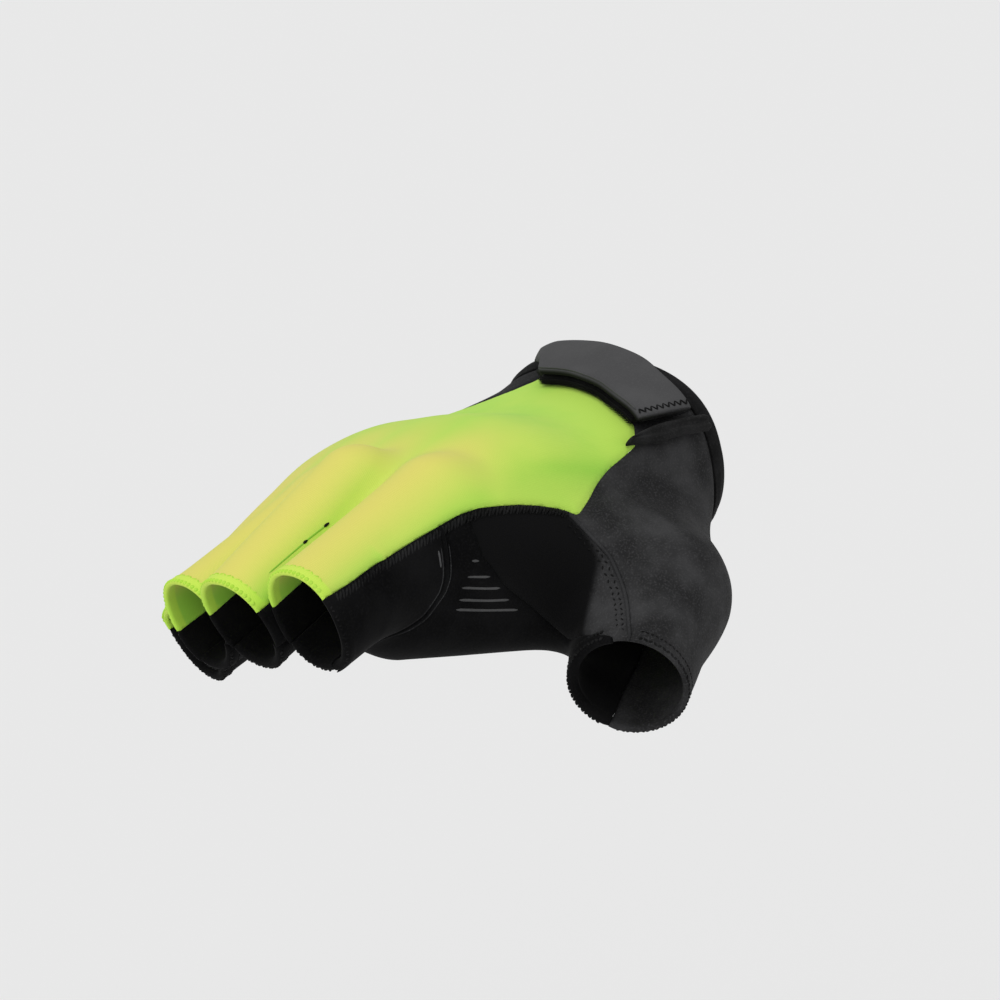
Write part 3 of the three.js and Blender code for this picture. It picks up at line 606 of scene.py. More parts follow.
# How near a point of a mouth counts as on its rim, and how far a hem, a turned edge, a seam's dip,
# a soft fold and the flat cloth beside an edge reach
rim_reach = 0.15
hem_reach = (1.9, 2.7)
turned_reach = 3
seam_reach = 0.8
fold_reach = 13
flat_reach = 6
seam_closing = 0.02


def sew(name, wall, lift=0, dip=0.4, unevenness=0.0, hem=0.18, coordinates=round_coordinates):
    """Turns a cut panel into cloth: dipped at its seams, with a rolled hem where it meets an opening."""
    faces = shell_faces[shell_panel == name]
    used, local = np.unique(faces, return_inverse=True)
    local = local.reshape(-1, 3)
    surface = shell_points[used]
    normal = form_normal(surface)
    edges = np.concatenate([local[:, [0, 1]], local[:, [1, 2]], local[:, [2, 0]]])
    keys = edges[:, 0] * np.int64(len(used)) + edges[:, 1]
    rim = edges[~np.isin(keys, edges[:, 1] * np.int64(len(used)) + edges[:, 0])]
    along = unit(surface[rim[:, 1]] - surface[rim[:, 0]])
    inward = np.zeros_like(surface)
    for end in (0, 1):
        np.add.at(inward, rim[:, end], np.cross(normal[rim[:, end]], along))
    inward = unit(inward)
    for _ in range(3):
        sums = inward.copy()
        np.add.at(sums, rim[:, 0], inward[rim[:, 1]])
        np.add.at(sums, rim[:, 1], inward[rim[:, 0]])
        inward = unit(sums)
    rim_points = np.unique(rim)
    from_mouth = distance_to(mouth_tree, surface)
    at_mouth = from_mouth < rim_reach
    inward[at_mouth] = -outward_at(surface[at_mouth])
    edge_round = 0.5 * (wall + hem)
    turned_in = edge_round * (1 - smooth_step(from_mouth, 0, turned_reach))
    seam_points = rim_points[~at_mouth[rim_points]]
    from_seam = distance_to(tree_of(surface[seam_points]), surface)
    height = lift - dip * np.exp(-((from_seam / seam_reach) ** 2))
    height += hem * (1 - smooth_step(from_mouth, *hem_reach))
    if unevenness:
        inland = smooth_step(np.minimum(from_seam, from_mouth), 0, flat_reach)
        height += drape(surface, fold_reach, unevenness, 3.1) * inland
    pull = -outward_at(surface) * turned_in[:, None]
    pull[~at_mouth] += seam_closing * inward[~at_mouth]
    outer = surface + pull + normal * height[:, None]
    inner = surface + pull + normal * (lift - wall)
    rows = []
    turns = (0.25, 0.5, 0.75)
    for turn in turns:
        middle = (outer + inner) / 2
        half = (outer - inner) / 2
        bulge = np.where(at_mouth, edge_round, 0.0)[:, None]
        row = middle + half * math.cos(turn * math.pi) - inward * bulge * math.sin(turn * math.pi)
        rows.append(row[rim_points])
    count = len(used)
    row_number = np.full(count, -1)
    row_number[rim_points] = np.arange(len(rim_points))
    starts = [2 * count + n * len(rim_points) for n in range(len(turns))]
    columns = [lambda n: n]
    columns += [lambda n, start=start: row_number[n] + start for start in starts]
    columns += [lambda n: n + count]
    walls = []
    for upper, lower in zip(columns, columns[1:]):
        a, b = rim.T
        walls.append(np.stack([upper(b), upper(a), lower(a)], axis=1))
        walls.append(np.stack([upper(b), lower(a), lower(b)], axis=1))
    points = np.concatenate([outer, inner] + rows)
    all_faces = np.concatenate([local, local[:, ::-1] + count] + walls)
    piece = new_piece(name + "_cloth", points, all_faces)
    origin = np.concatenate([np.arange(count), np.arange(count)] + [rim_points] * len(turns))
    give_attribute(piece, "from_mouth", from_mouth[origin])
    give_weave(piece, points, coordinates)
    return piece, surface[origin], normal[origin]


def shader_tree(name):
    material = bpy.data.materials.new(name)
    material.use_nodes = True
    tree = material.node_tree
    tree.nodes.clear()
    shader = tree.nodes.new("ShaderNodeBsdfPrincipled")
    output = tree.nodes.new("ShaderNodeOutputMaterial")
    tree.links.new(shader.outputs[0], output.inputs[0])
    return material, tree, shader


def add_node(tree, kind, inputs=None, **settings):
    node = tree.nodes.new(kind)
    for key, value in settings.items():
        setattr(node, key, value)
    for key, value in (inputs or {}).items():
        if isinstance(value, bpy.types.NodeSocket):
            tree.links.new(value, node.inputs[key])
        else:
            node.inputs[key].default_value = value
    return node


def mixed(tree, factor, a, b):
    """A colour mixed from two others."""
    node = add_node(tree, "ShaderNodeMix", data_type="RGBA")
    for socket, value in ((node.inputs[0], factor), (node.inputs[6], a), (node.inputs[7], b)):
        if isinstance(value, bpy.types.NodeSocket):
            tree.links.new(value, socket)
        else:
            socket.default_value = value
    return node.outputs[2]


def ranged(tree, value, low, high, to_low=0.0, to_high=1.0):
    node = add_node(tree, "ShaderNodeMapRange", {
        "Value": value, "From Min": low, "From Max": high, "To Min": to_low, "To Max": to_high,
    })
    return node.outputs[0]


def arithmetic(tree, operation, a, b):
    return add_node(tree, "ShaderNodeMath", {0: a, 1: b}, operation=operation).outputs[0]


def mottle(tree, place, scale, detail):
    inputs = {"Vector": place, "Scale": scale, "Detail": detail}
    return add_node(tree, "ShaderNodeTexNoise", inputs).outputs[0]


def read_attribute(tree, name):
    return add_node(tree, "ShaderNodeAttribute", attribute_name=name).outputs["Fac"]


def set_finish(shader, roughness, specular, sheen=0.0, sheen_roughness=0.5):
    shader.inputs["Roughness"].default_value = roughness
    shader.inputs["Specular IOR Level"].default_value = specular
    shader.inputs["Sheen Weight"].default_value = sheen
    shader.inputs["Sheen Roughness"].default_value = sheen_roughness


jersey_green = (0.50, 0.76, 0.10, 1)
jersey_deep_tone_and_shade = (0.30, 0.72, 0.06, 1)
jersey_skin_and_highlight = (0.77, 0.67, 0.15, 1)
jersey_hem = (0.56, 0.86, 0.08, 1)
jersey_shadow = (0.25, 0.5, 0.04, 1)


def jersey_material():
    material, tree, shader = shader_tree("stretch_jersey")
    place = add_node(tree, "ShaderNodeTexCoord").outputs["Object"]
    weave = add_node(tree, "ShaderNodeUVMap", uv_map="weave").outputs[0]
    skin_tint_and_highlight, depth, mouth = [read_attribute(tree, name) for name in ("skin_tint_and_highlight", "side_facing_shade", "from_mouth")]
    patches = mottle(tree, place, 55.0, 3.0)
    base = mixed(tree, ranged(tree, patches, 0.4, 0.66, 0, 0.35), jersey_green, jersey_deep_tone_and_shade)
    # Painted shade: deeper green where the cloth faces sideways or down
    base = mixed(tree, depth, base, jersey_deep_tone_and_shade)
    # Warm beige on the finger ridges: the skin tint of stretched cloth, with a painted highlight on their
    # tops
    base = mixed(tree, skin_tint_and_highlight, base, jersey_skin_and_highlight)
    base = mixed(tree, ranged(tree, mouth, 2.2, 2.8, 0.75, 0.0), base, jersey_hem)
    wales, courses = [
        add_node(tree, "ShaderNodeTexWave", {"Vector": weave, "Scale": scale, "Distortion": 0.3},
                 bands_direction=direction).outputs["Fac"]
        for scale, direction in ((0.55, "Y"), (0.8, "X"))
    ]
    knit = arithmetic(tree, "MULTIPLY", wales, courses)
    base = mixed(tree, ranged(tree, knit, 0, 0.6, 0.1, 0), base, jersey_shadow)
    tree.links.new(base, shader.inputs["Base Color"])
    bump = add_node(tree, "ShaderNodeBump", {"Height": knit, "Strength": 0.25, "Distance": 0.00012})
    tree.links.new(bump.outputs[0], shader.inputs["Normal"])
    set_finish(shader, 0.72, 0.25, 0.05, 0.5)
    return material


def finish_piece(piece, material):
    """Gives a piece its finish and hangs it on the one body."""
    piece.data.materials.clear()
    piece.data.materials.append(material)
    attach(piece, "root")
    return piece


back_panel, back_surface, back_normal = sew("back_panel", wall=1.0, unevenness=0.25)
ridge_width = 11
ridge = np.zeros(len(back_surface))
for finger_place in finger_frames:
    away = (back_surface - finger_place["root"]) @ finger_place["side"]
    forward = (back_surface - finger_place["root"]) @ finger_place["along"]
    ridge = np.maximum(ridge, np.exp(-((away / ridge_width) ** 2)) * smooth_step(forward, -38, -2))
# The warm tint is kept to tops that face up: painted highlight over the real skin tint of the stretched cloth
lit_top = smooth_step(back_normal[:, 2], 0.15, 0.8)
give_attribute(back_panel, "skin_tint_and_highlight", 0.92 * ridge * lit_top)
# Painted shade: deeper green the less the cloth faces up
give_attribute(back_panel, "side_facing_shade", 0.7 * (1 - smooth_step(back_normal[:, 2], 0.0, 0.7)))
finish_piece(back_panel, jersey_material())
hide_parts("back_panel")

# Loop panel. It is a strip of brushed loop cloth across the back of the wrist, sewn between the back
# panel and the cuff. The tab's hooks hold on to it.


def suede_material(name, colour, light, grain=0.22, shine=0.1):
    """Cloth with a short nap: fine grain, soft blotches and paler worn spots."""
    material, tree, shader = shader_tree(name)
    place = add_node(tree, "ShaderNodeTexCoord").outputs["Object"]
    nap = mottle(tree, place, 2300.0, 2.0)
    blotches = mottle(tree, place, 90.0, 4.0)
    tone = mixed(tree, ranged(tree, blotches, 0.42, 0.72, 0, 0.6), colour, light)
    tone = mixed(tree, ranged(tree, nap, 0.5, 0.72, 0, 0.5), tone, light)
    tree.links.new(tone, shader.inputs["Base Color"])
    bump = add_node(tree, "ShaderNodeBump", {"Height": nap, "Strength": grain, "Distance": 0.0002})
    tree.links.new(bump.outputs[0], shader.inputs["Normal"])
    set_finish(shader, 0.85, shine, 0.02, 0.4)
    return material


def darken(material, attribute, colour):
    """Gives a material another colour where an attribute of the piece is low."""
    tree = material.node_tree
    target = tree.nodes["Principled BSDF"].inputs["Base Color"]
    share = read_attribute(tree, attribute)
    tree.links.new(mixed(tree, share, colour, target.links[0].from_socket), target)


cuff_width = 3.6
loop_black = (0.012, 0.012, 0.013, 1)
loop_light = (0.04, 0.04, 0.043, 1)
cut_out("loop_panel", lambda p: np.minimum(over_back(p), from_opening(p) - cuff_width))
loop_panel, _, _ = sew("loop_panel", wall=1.3)
finish_piece(loop_panel, suede_material("loop_cloth", loop_black, loop_light, 0.6))
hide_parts("loop_panel")

# Thumb panel. It is charcoal brushed knit that wraps the outer side of the thumb from the wrist to the
# thumb's mouth, and its front edge is a raised seam.
thumb_out = unit(np.array([-thumb_along[1], thumb_along[0], 0]))
thumb_seam = named_columns("level out", [
    (-1.05, -0.25), (-0.75, -0.12), (-0.6, 0.02), (-0.5, 0.1), (-0.39, 0.03), (-0.17, -0.17),
    (0.05, -0.5), (0.5, -1.1),
])


def thumb_coordinates(points):
    """Millimetres along the thumb and round it, for the weave."""
    q = points - palm_ball(thumb_base)[0]
    along = q @ thumb_along
    away = q - along[:, None] * thumb_along
    up = np.cross(thumb_along, thumb_out)
    return along, np.arctan2(away @ up, away @ thumb_out) * 0.62 * thumb_width


def over_thumb(p):
    out = read(thumb_seam, "level", "out", p[:, 2] / palm_depth) * thumb_width
    return (p - thumb_ball(thumb_mouth)[0]) @ thumb_out - out


cut_out("thumb_panel", lambda p: np.minimum(over_thumb(p), from_opening(p) - cuff_width))
knit_charcoal = (0.016, 0.016, 0.0165, 1)
knit_light = (0.062, 0.062, 0.064, 1)
thumb_panel, _, _ = sew("thumb_panel", wall=1.3, unevenness=0.3, coordinates=thumb_coordinates)
charcoal_knit = suede_material("charcoal_knit", knit_charcoal, knit_light, 0.5)
finish_piece(thumb_panel, charcoal_knit)
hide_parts("thumb_panel")

# Thumb gusset. It is a wedge of thin black suede between the thumb and the index finger, sewn to the
# thumb panel, the palm and the back.
gusset_seam = named_columns("level along", [
    (-0.9, 0.46), (-0.62, 0.58), (-0.39, 0.66), (-0.22, 0.735), (-0.05, 0.785), (0.2, 0.8),
])
gusset_hem = named_columns("along side", [(0.4, 0.62), (0.45, 0.56), (0.5, 0.46), (0.6, 0.425), (0.8, 0.36)])


def over_gusset(p):
    seam = read(gusset_seam, "level", "along", p[:, 2] / palm_depth) * palm_length
    edge = read(gusset_hem, "along", "side", p[:, 0] / palm_length) * palm_width
    return smooth_union(seam - p[:, 0], p[:, 1] - edge, 2 * blend)


cut_out("thumb_gusset", over_gusset)
suede_black = (0.0025, 0.0025, 0.0027, 1)
suede_light = (0.009, 0.009, 0.0095, 1)
thumb_gusset, gusset_surface, _ = sew("thumb_gusset", wall=1.3, unevenness=0.3, coordinates=thumb_coordinates)
black_suede = suede_material("black_suede", suede_black, suede_light, shine=0.05)
# Painted light and shade: charcoal by the thumb seam where the gusset faces the light, near black beyond
gusset_tree = tree_of(shell_points[border_points("thumb_gusset", "thumb_panel")])
mouth_distance = np.linalg.norm(gusset_surface - thumb_ball(thumb_mouth)[0], axis=1)
lit_zone_reach = 11.5 * (1 - smooth_step(mouth_distance, 9, 34))
from_cord = distance_to(gusset_tree, gusset_surface)
give_attribute(thumb_gusset, "knit", 1 - smooth_step(from_cord - lit_zone_reach, -0.6, 1.6))
gusset_cloth = suede_material("gusset_cloth", knit_charcoal, knit_light, 0.5)
# Painted shade: near black away from the lit zone by the seam
darken(gusset_cloth, "knit", suede_black)
finish_piece(thumb_gusset, gusset_cloth)
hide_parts("thumb_gusset")

# Side patch of the index finger. It is a second layer of black suede with a corded edge that guards
# the side of the finger.
patch_seam = named_columns("level along", [
    (-0.5, 1.0), (-0.4, 0.945), (-0.32, 0.895), (-0.2, 0.862), (-0.13, 0.857), (0.2, 0.865),
])


def over_patch(p):
    seam = read(patch_seam, "level", "along", p[:, 2] / palm_depth) * palm_length
    under = axis_at(0, p[:, 0])[0] + 0.15 * finger_width
    return smooth_union(p[:, 0] - seam, p[:, 1] - under, 1.5 * blend)


cut_out("index_side_patch", over_patch)
index_side_patch, _, _ = sew("index_side_patch", wall=2.0, lift=0.3)
finish_piece(index_side_patch, black_suede)
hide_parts("index_side_patch")

# Fourchettes. They are three narrow strips of thin black suede. Each is sewn to the back and the palm,
# between two fingers, and gives them their depth.
fourchette_width = 10


def over_fourchette(p, k):
    level = fourchette_width - (back_level(p) - p[:, 2])
    across = finger_pitch / 2 - np.abs(p[:, 1] - gap_at(k, p[:, 0])[0])
    return np.minimum(np.minimum(level, across), p[:, 0] - finger_frames[k]["root"][0])


for k in (2, 1, 0):
    strip_name = f"fourchette_{finger_names[k]}_{finger_names[k + 1]}"
    cut_out(strip_name, lambda p: over_fourchette(p, k))
    fourchette, _, _ = sew(strip_name, wall=1.0, dip=0.2)
    finish_piece(fourchette, black_suede)
    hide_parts(strip_name)

# Palm panel. It is the largest piece, of black synthetic suede two millimetres thick. It wraps the
# palm and the undersides of the fingers, and is what the cuts above leave of the shell.
cut_out("palm_panel", lambda p: from_opening(p) - cuff_width)
palm_panel, _, _ = sew("palm_panel", wall=2.0, unevenness=0.3)
finish_piece(palm_panel, black_suede)
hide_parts("palm_panel")

# Cuff band. It is a folded strip of knit round the wrist opening, a little thicker than the panels
# that it binds.
cut_out("cuff_band", lambda p: np.full(len(p), 1.0))
cuff_band, _, _ = sew("cuff_band", wall=1.3, lift=0.5, hem=0.2)
cuff_knit = suede_material("cuff_knit", (0.005, 0.005, 0.005, 1), (0.02, 0.02, 0.021, 1), 0.4)
finish_piece(cuff_band, cuff_knit)
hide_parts("cuff_band")

# Seam cord of the thumb. It is a thin piped ridge of knit in the seam between the thumb panel and the
# gusset, with a row of black lockstitches beside it on the gusset.
lockstitch_size = (0.8, 0.34, 0.24)
path_step = 0.7
shortest_path = 16


def tube(name, rings):
    """A closed surface over a row of rings, with its faces turned outward."""
    rows, columns = rings.shape[:2]
    points = rings.reshape(-1, 3)
    number = np.arange(rows * columns).reshape(rows, columns)
    beside = np.roll(number, -1, axis=1)
    quads = np.stack([number[:-1], number[1:], beside[1:], beside[:-1]], axis=-1).reshape(-1, 4)
    a, b, c, d = [points[quads[:, n]] - points.mean(axis=0) for n in range(4)]
    faces = quads.tolist() + [number[0].tolist(), number[-1, ::-1].tolist()]
    if np.sum(np.cross(a, b) * c) + np.sum(np.cross(a, c) * d) < 0:
        faces = [face[::-1] for face in faces]
    return new_piece(name, points, faces)


def oval(columns, squareness):
    """A rounded oblong as two rows of numbers between -1 and 1."""
    turn = np.linspace(0, 2 * math.pi, columns, endpoint=False)
    power = 2 / squareness
    across = np.sign(np.cos(turn)) * np.abs(np.cos(turn)) ** power
    return across, np.sign(np.sin(turn)) * np.abs(np.sin(turn)) ** power


def border_paths(name, others):
    """The borders between a panel and others as smooth rows of points, one row for each run."""
    count = np.int64(len(shell_points))
    own, beside = [
        np.concatenate([faces[:, [0, 1]], faces[:, [1, 2]], faces[:, [2, 0]]])
        for faces in (shell_faces[shell_panel == name], shell_faces[np.isin(shell_panel, others)])
    ]
    shared = own[np.isin(own[:, 0] * count + own[:, 1], beside[:, 1] * count + beside[:, 0])]
    following = dict(shared.tolist())
    starts = sorted(set(following) - set(following.values()))
    paths = []
    while following:
        here = starts.pop(0) if starts else min(following)
        path = [here]
        while here in following:
            here = following.pop(here)
            path.append(here)
        points = shell_points[path]
        for _ in range(4):
            points[1:-1] = (points[:-2] + 2 * points[1:-1] + points[2:]) / 4
        line = resampled(points, path_step)
        if len(line) > shortest_path:
            paths.append(line)
    return paths


def resampled(points, step):
    length = np.concatenate([[0], np.cumsum(np.linalg.norm(np.diff(points, axis=0), axis=1))])
    places = np.linspace(0, length[-1], int(length[-1] / step) + 2)
    return np.stack([np.interp(places, length, points[:, n]) for n in range(3)], axis=1)


def seam_line(path, offset, lift):
    """A line beside a border: moved into the border's own panel and lifted off the form."""
    inward = np.cross(form_normal(path), unit(np.gradient(path, axis=0)))
    path = on_form(path + offset * inward, 3)
    normal = form_normal(path)
    return path + lift * normal, normal


def cord(name, line, width, height, columns=10):
    """A thin rounded cord laid along a line."""
    path, normal = line
    along = unit(np.gradient(path, axis=0))
    side = unit(np.cross(normal, along))
    across, up = oval(columns, 2)
    taper = np.minimum(1, 0.25 + 0.5 * np.minimum(np.arange(len(path)), np.arange(len(path))[::-1]))
    rings = path[:, None] + taper[:, None, None] * (
        side[:, None] * across[:, None] * width / 2 + normal[:, None] * up[:, None] * height / 2)
    return tube(name, rings)


def bead_tree(material):
    """Geometry Nodes that lay rounded beads of thread along lines."""
    tree = bpy.data.node_groups.new("thread_beads", "GeometryNodeTree")
    tree.interface.new_socket("Lines", in_out="INPUT", socket_type="NodeSocketGeometry")
    for title in ("Spacing", "Length", "Width", "Height", "Slant", "Alternate"):
        tree.interface.new_socket(title, in_out="INPUT", socket_type="NodeSocketFloat")
    tree.interface.new_socket("Beads", in_out="OUTPUT", socket_type="NodeSocketGeometry")
    given = add_node(tree, "NodeGroupInput").outputs
    curve = add_node(tree, "GeometryNodeMeshToCurve", {"Mesh": given["Lines"]}).outputs[0]
    places = add_node(tree, "GeometryNodeResampleCurve", {"Curve": curve, "Length": given["Spacing"]},
                      mode="LENGTH").outputs[0]
    tangent = add_node(tree, "GeometryNodeInputTangent").outputs[0]
    outward = add_node(tree, "GeometryNodeInputNamedAttribute", {"Name": "outward"},
                       data_type="FLOAT_VECTOR").outputs[0]
    ahead = add_node(tree, "FunctionNodeAlignRotationToVector", {"Vector": tangent}, axis="X").outputs[0]
    upright = add_node(tree, "FunctionNodeAlignRotationToVector", {"Rotation": ahead, "Vector": outward},
                       axis="Z", pivot_axis="X").outputs[0]
    order = add_node(tree, "GeometryNodeInputIndex").outputs[0]
    odd = arithmetic(tree, "MODULO", order, 2.0)
    turned = arithmetic(tree, "SUBTRACT", 1.0, arithmetic(tree, "MULTIPLY", odd, given["Alternate"]))
    slant = arithmetic(tree, "MULTIPLY", turned, given["Slant"])
    turn = add_node(tree, "FunctionNodeAxisAngleToRotation", {"Axis": (0, 0, 1), "Angle": slant}).outputs[0]
    rotation = add_node(tree, "FunctionNodeRotateRotation", {0: upright, 1: turn},
                        rotation_space="LOCAL").outputs[0]
    sizes = {n: given[title] for n, title in enumerate(("Length", "Width", "Height"))}
    scale = add_node(tree, "ShaderNodeCombineXYZ", sizes)
    bead = add_node(tree, "GeometryNodeMeshIcoSphere", {"Radius": 0.5, "Subdivisions": 2}).outputs[0]
    beads = add_node(tree, "GeometryNodeInstanceOnPoints", {
        "Points": places, "Instance": bead, "Rotation": rotation, "Scale": scale.outputs[0],
    }).outputs[0]
    solid = add_node(tree, "GeometryNodeRealizeInstances", {"Geometry": beads}).outputs[0]
    dressed = add_node(tree, "GeometryNodeSetMaterial", {"Geometry": solid, "Material": material}).outputs[0]
    add_node(tree, "NodeGroupOutput", {"Beads": dressed})
    return tree


def stitched(name, lines, material, spacing, size, slant=0.0, alternate=0.0):
    """Rows of stitches along lines, turned by slant degrees from the line."""
    points = np.concatenate([line[0] for line in lines])
    outward = np.concatenate([line[1] for line in lines])
    ends = np.cumsum([len(line[0]) for line in lines])
    edges = [(n, n + 1) for n in range(len(points) - 1) if n + 1 not in ends]
    mesh = bpy.data.meshes.new(name)
    mesh.from_pydata((points * mm).tolist(), edges, [])
    layer = mesh.attributes.new("outward", "FLOAT_VECTOR", "POINT")
    layer.data.foreach_set("vector", outward.ravel())
    piece = bpy.data.objects.new(name, mesh)
    bpy.context.scene.collection.objects.link(piece)
    modifier = piece.modifiers.new("stitches", "NODES")
    modifier.node_group = bead_tree(material)
    values = {
        "Spacing": spacing * mm, "Length": size[0] * mm, "Width": size[1] * mm, "Height": size[2] * mm,
        "Slant": math.radians(slant), "Alternate": 2.0 * alternate,
    }
    for item in modifier.node_group.interface.items_tree:
        if item.name in values:
            modifier[item.identifier] = values[item.name]
    finished = piece.evaluated_get(bpy.context.evaluated_depsgraph_get())
    made = bpy.data.meshes.new_from_object(finished)
    piece.modifiers.clear()
    piece.data = made
    made.polygons.foreach_set("use_smooth", np.ones(len(made.polygons), bool))
    return finish_piece(piece, material)


black_thread = suede_material("black_thread", (0.004, 0.004, 0.004, 1), (0.012, 0.012, 0.012, 1), 0.2)
piping_knit = suede_material("piping_knit", (0.022, 0.022, 0.023, 1), (0.05, 0.05, 0.052, 1), 0.6)
thumb_paths = border_paths("thumb_gusset", ["thumb_panel"])
for n, path in enumerate(thumb_paths):
    piping = cord(f"thumb_seam_cord_{n}", seam_line(path, 0.25, -0.1), 0.75, 0.75)
    finish_piece(piping, piping_knit)
thumb_lines = [seam_line(path[4:-4], offset, 0.05) for offset in (1.5, 2.7) for path in thumb_paths]
stitched("thumb_seam_stitches", thumb_lines, black_thread, 1.5, lockstitch_size, 30, 1.0)

# Overlock edge. Black thread is whipped over the edge of the suede all along its seam with the green
# back, in slanting bars that stand up a little.
suede_panels = ["thumb_gusset", "palm_panel", "index_side_patch"]
overlock_thread = suede_material("overlock_thread", (0.004, 0.004, 0.004, 1), (0.024, 0.024, 0.025, 1), 0.8)
overlock_lines = []
for path in border_paths("back_panel", suede_panels):
    inner_path = path[distance_to(mouth_tree, path) > 2.5]
    overlock_lines.append(seam_line(inner_path, -1.2, 0.05))
stitched("overlock_stitches", overlock_lines, overlock_thread, 0.85, (2.3, 0.62, 0.8), 64, 0.12)

# Hem stitches. The hem of each opening is turned in and held by a row of stitches, and a second row
# whips its edge. The thread is green on the back panel and black on the others.
green_thread = suede_material("green_thread", (0.42, 0.70, 0.06, 1), (0.55, 0.82, 0.12, 1), 0.2)
back_mouths = border_paths("back_panel", ["opening"])
green_hems = [seam_line(path[5:-5], 2.5, 0.0) for path in back_mouths]
stitched("green_hem_stitches", green_hems, green_thread, 1.15, (1.1, 0.36, 0.3), 35, 1.0)
green_edges = [seam_line(path[3:-3], 0.55, 0.0) for path in back_mouths]
stitched("green_edge_stitches", green_edges, green_thread, 1.1, (1.1, 1.0, 0.7))
black_hems = [
    seam_line(path[3:-3], offset, 0.0) for offset in (2.5, 0.6)
    for name in ("palm_panel", "index_side_patch", "thumb_panel", "thumb_gusset", "cuff_band")
    for path in border_paths(name, ["opening"])
]
stitched("black_hem_stitches", black_hems, overlock_thread, 1.05, (1.05, 0.6, 0.55), 35, 1.0)

# Border of the side patch. A soft cord of black suede is sewn into its edge. A thin pale grey line on either
# side of it is a painted highlight along the raised edge. A short pale rubber dash is printed beside them.
painted_highlight_grey = suede_material("painted_highlight_grey", (0.015, 0.015, 0.016, 1), (0.07, 0.07, 0.072, 1), 0.2)
stripe_rubber = suede_material("stripe_rubber", (0.06, 0.06, 0.061, 1), (0.10, 0.10, 0.102, 1), 0.05)
for n, path in enumerate(border_paths("index_side_patch", ["palm_panel"])):
    patch_cord = cord(f"patch_cord_{n}", seam_line(path, 0.6, 0.25), 1.1, 0.7)
    finish_piece(patch_cord, black_suede)
    # Painted highlight: pale grey lines on either side of the cord, along its raised edge
    for row, offset in enumerate((-0.5, 1.7)):
        line = seam_line(path[6:-6], offset, 0.1 + 0.15 * row)
        finish_piece(cord(f"patch_line_{n}_{row}", line, 0.3, 0.22), painted_highlight_grey)


def short_cord(name, places, step, width, height, lift=0.0):
    """A cord through a few places given in millimetres, laid onto the form."""
    path = on_form(resampled(np.array(places), step), 4)
    normal = form_normal(path)
    return cord(name, (path + lift * normal, normal), width, height)


dash = short_cord("patch_dash", [(88.6, 36.2, 1.4), (88.2, 36.1, -2.2)], 0.3, 0.45, 0.3, 0.3)
finish_piece(dash, stripe_rubber)

# Grip stripes. Five pale rubber stripes are printed on the suede behind the patch, each longer than
# the one above it. Their ends are given in millimetres.
stripe_ends = [
    ((80.8, 37.4, -2.4), (79.3, 38.2, -2.7)), ((81.5, 36.2, -5.8), (76.8, 38.4, -6.6)),
    ((81.9, 35.1, -8.2), (74.0, 38.0, -9.7)), ((82.0, 34.1, -10.9), (71.1, 37.2, -13.0)),
    ((82.4, 33.3, -13.0), (68.5, 36.8, -15.9)),
]
for n, ends in enumerate(stripe_ends):
    finish_piece(short_cord(f"grip_stripe_{n}", ends, 0.5, 0.65, 0.3), stripe_rubber)

# Hook patch. It is a strip of black hook tape sewn to the underside of the tab. Its short stiff
# hooks show as a fuzzy edge below the tab.
tab_width = 15
tab_wall = 2.2
hook_wall = 1.8
hook_inset = 0.8
layer_gap = 0.35
anchor_angle = 23
tab_end_angle = 120
tab_end_slant = 14
tab_narrow = 0.14
tab_edge = named_columns("angle along", [
    (20, 0.108), (26, 0.098), (36, 0.09), (48, 0.072), (60, 0.062), (80, 0.05), (120, 0.046),
])


def wrist_point(x, angle, lift):
    """Points on or above the form round the wrist, at angles from the thumb side to the back."""
    ray = np.stack([np.zeros_like(angle), np.cos(angle), np.sin(angle)], axis=-1)
    base = np.stack([x, np.zeros_like(x), np.zeros_like(x)], axis=-1)
    near = np.full(len(x), 0.2 * palm_depth)
    far = np.full(len(x), float(palm_width))
    for _ in range(24):
        half = (near + far) / 2
        inside = form_field(base + ray * half[:, None]) < 0
        near = np.where(inside, half, near)
        far = np.where(inside, far, half)
    surface = base + ray * near[:, None]
    return surface + form_normal(surface) * np.asarray(lift).reshape(-1, 1)


def tab_edges(angle):
    """The two long edges of the tab at angles in degrees."""
    share = (angle - anchor_angle) / (tab_end_angle - anchor_angle)
    start = read_smooth(tab_edge, "angle", "along", angle) * palm_length
    return start, start + tab_width * (1 - tab_narrow * share)


def slanted(angle, across):
    """The tab's free end is cut at a slant: its wrist edge reaches farther than its lower edge."""
    share = (angle - anchor_angle) / (tab_end_angle - anchor_angle)
    return np.radians(angle - tab_end_slant / 2 * share * across)


def round_strip(name, start, end, angle, lift, wall, columns=36, squareness=3.4):
    """A closed strip round the wrist between two edges, at angles in degrees."""
    across, height = oval(columns, squareness)
    x = (start + end)[:, None] / 2 + (end - start)[:, None] / 2 * across
    z = lift + wall[:, None] / 2 * (1 + height)
    turn = slanted(angle[:, None], across)
    points = wrist_point(x.ravel(), turn.ravel(), z.ravel())
    piece = tube(name, points.reshape(len(angle), columns, 3))
    give_attribute(piece, "upper_side", np.tile(smooth_step(height, 0.1, 0.7), len(angle)))
    return piece


def end_rounding(rest, radius):
    """How far rounded corners draw the edges in near the free end."""
    short = np.clip(radius - rest, 0, radius)
    return radius - np.sqrt(radius * radius - short * short)


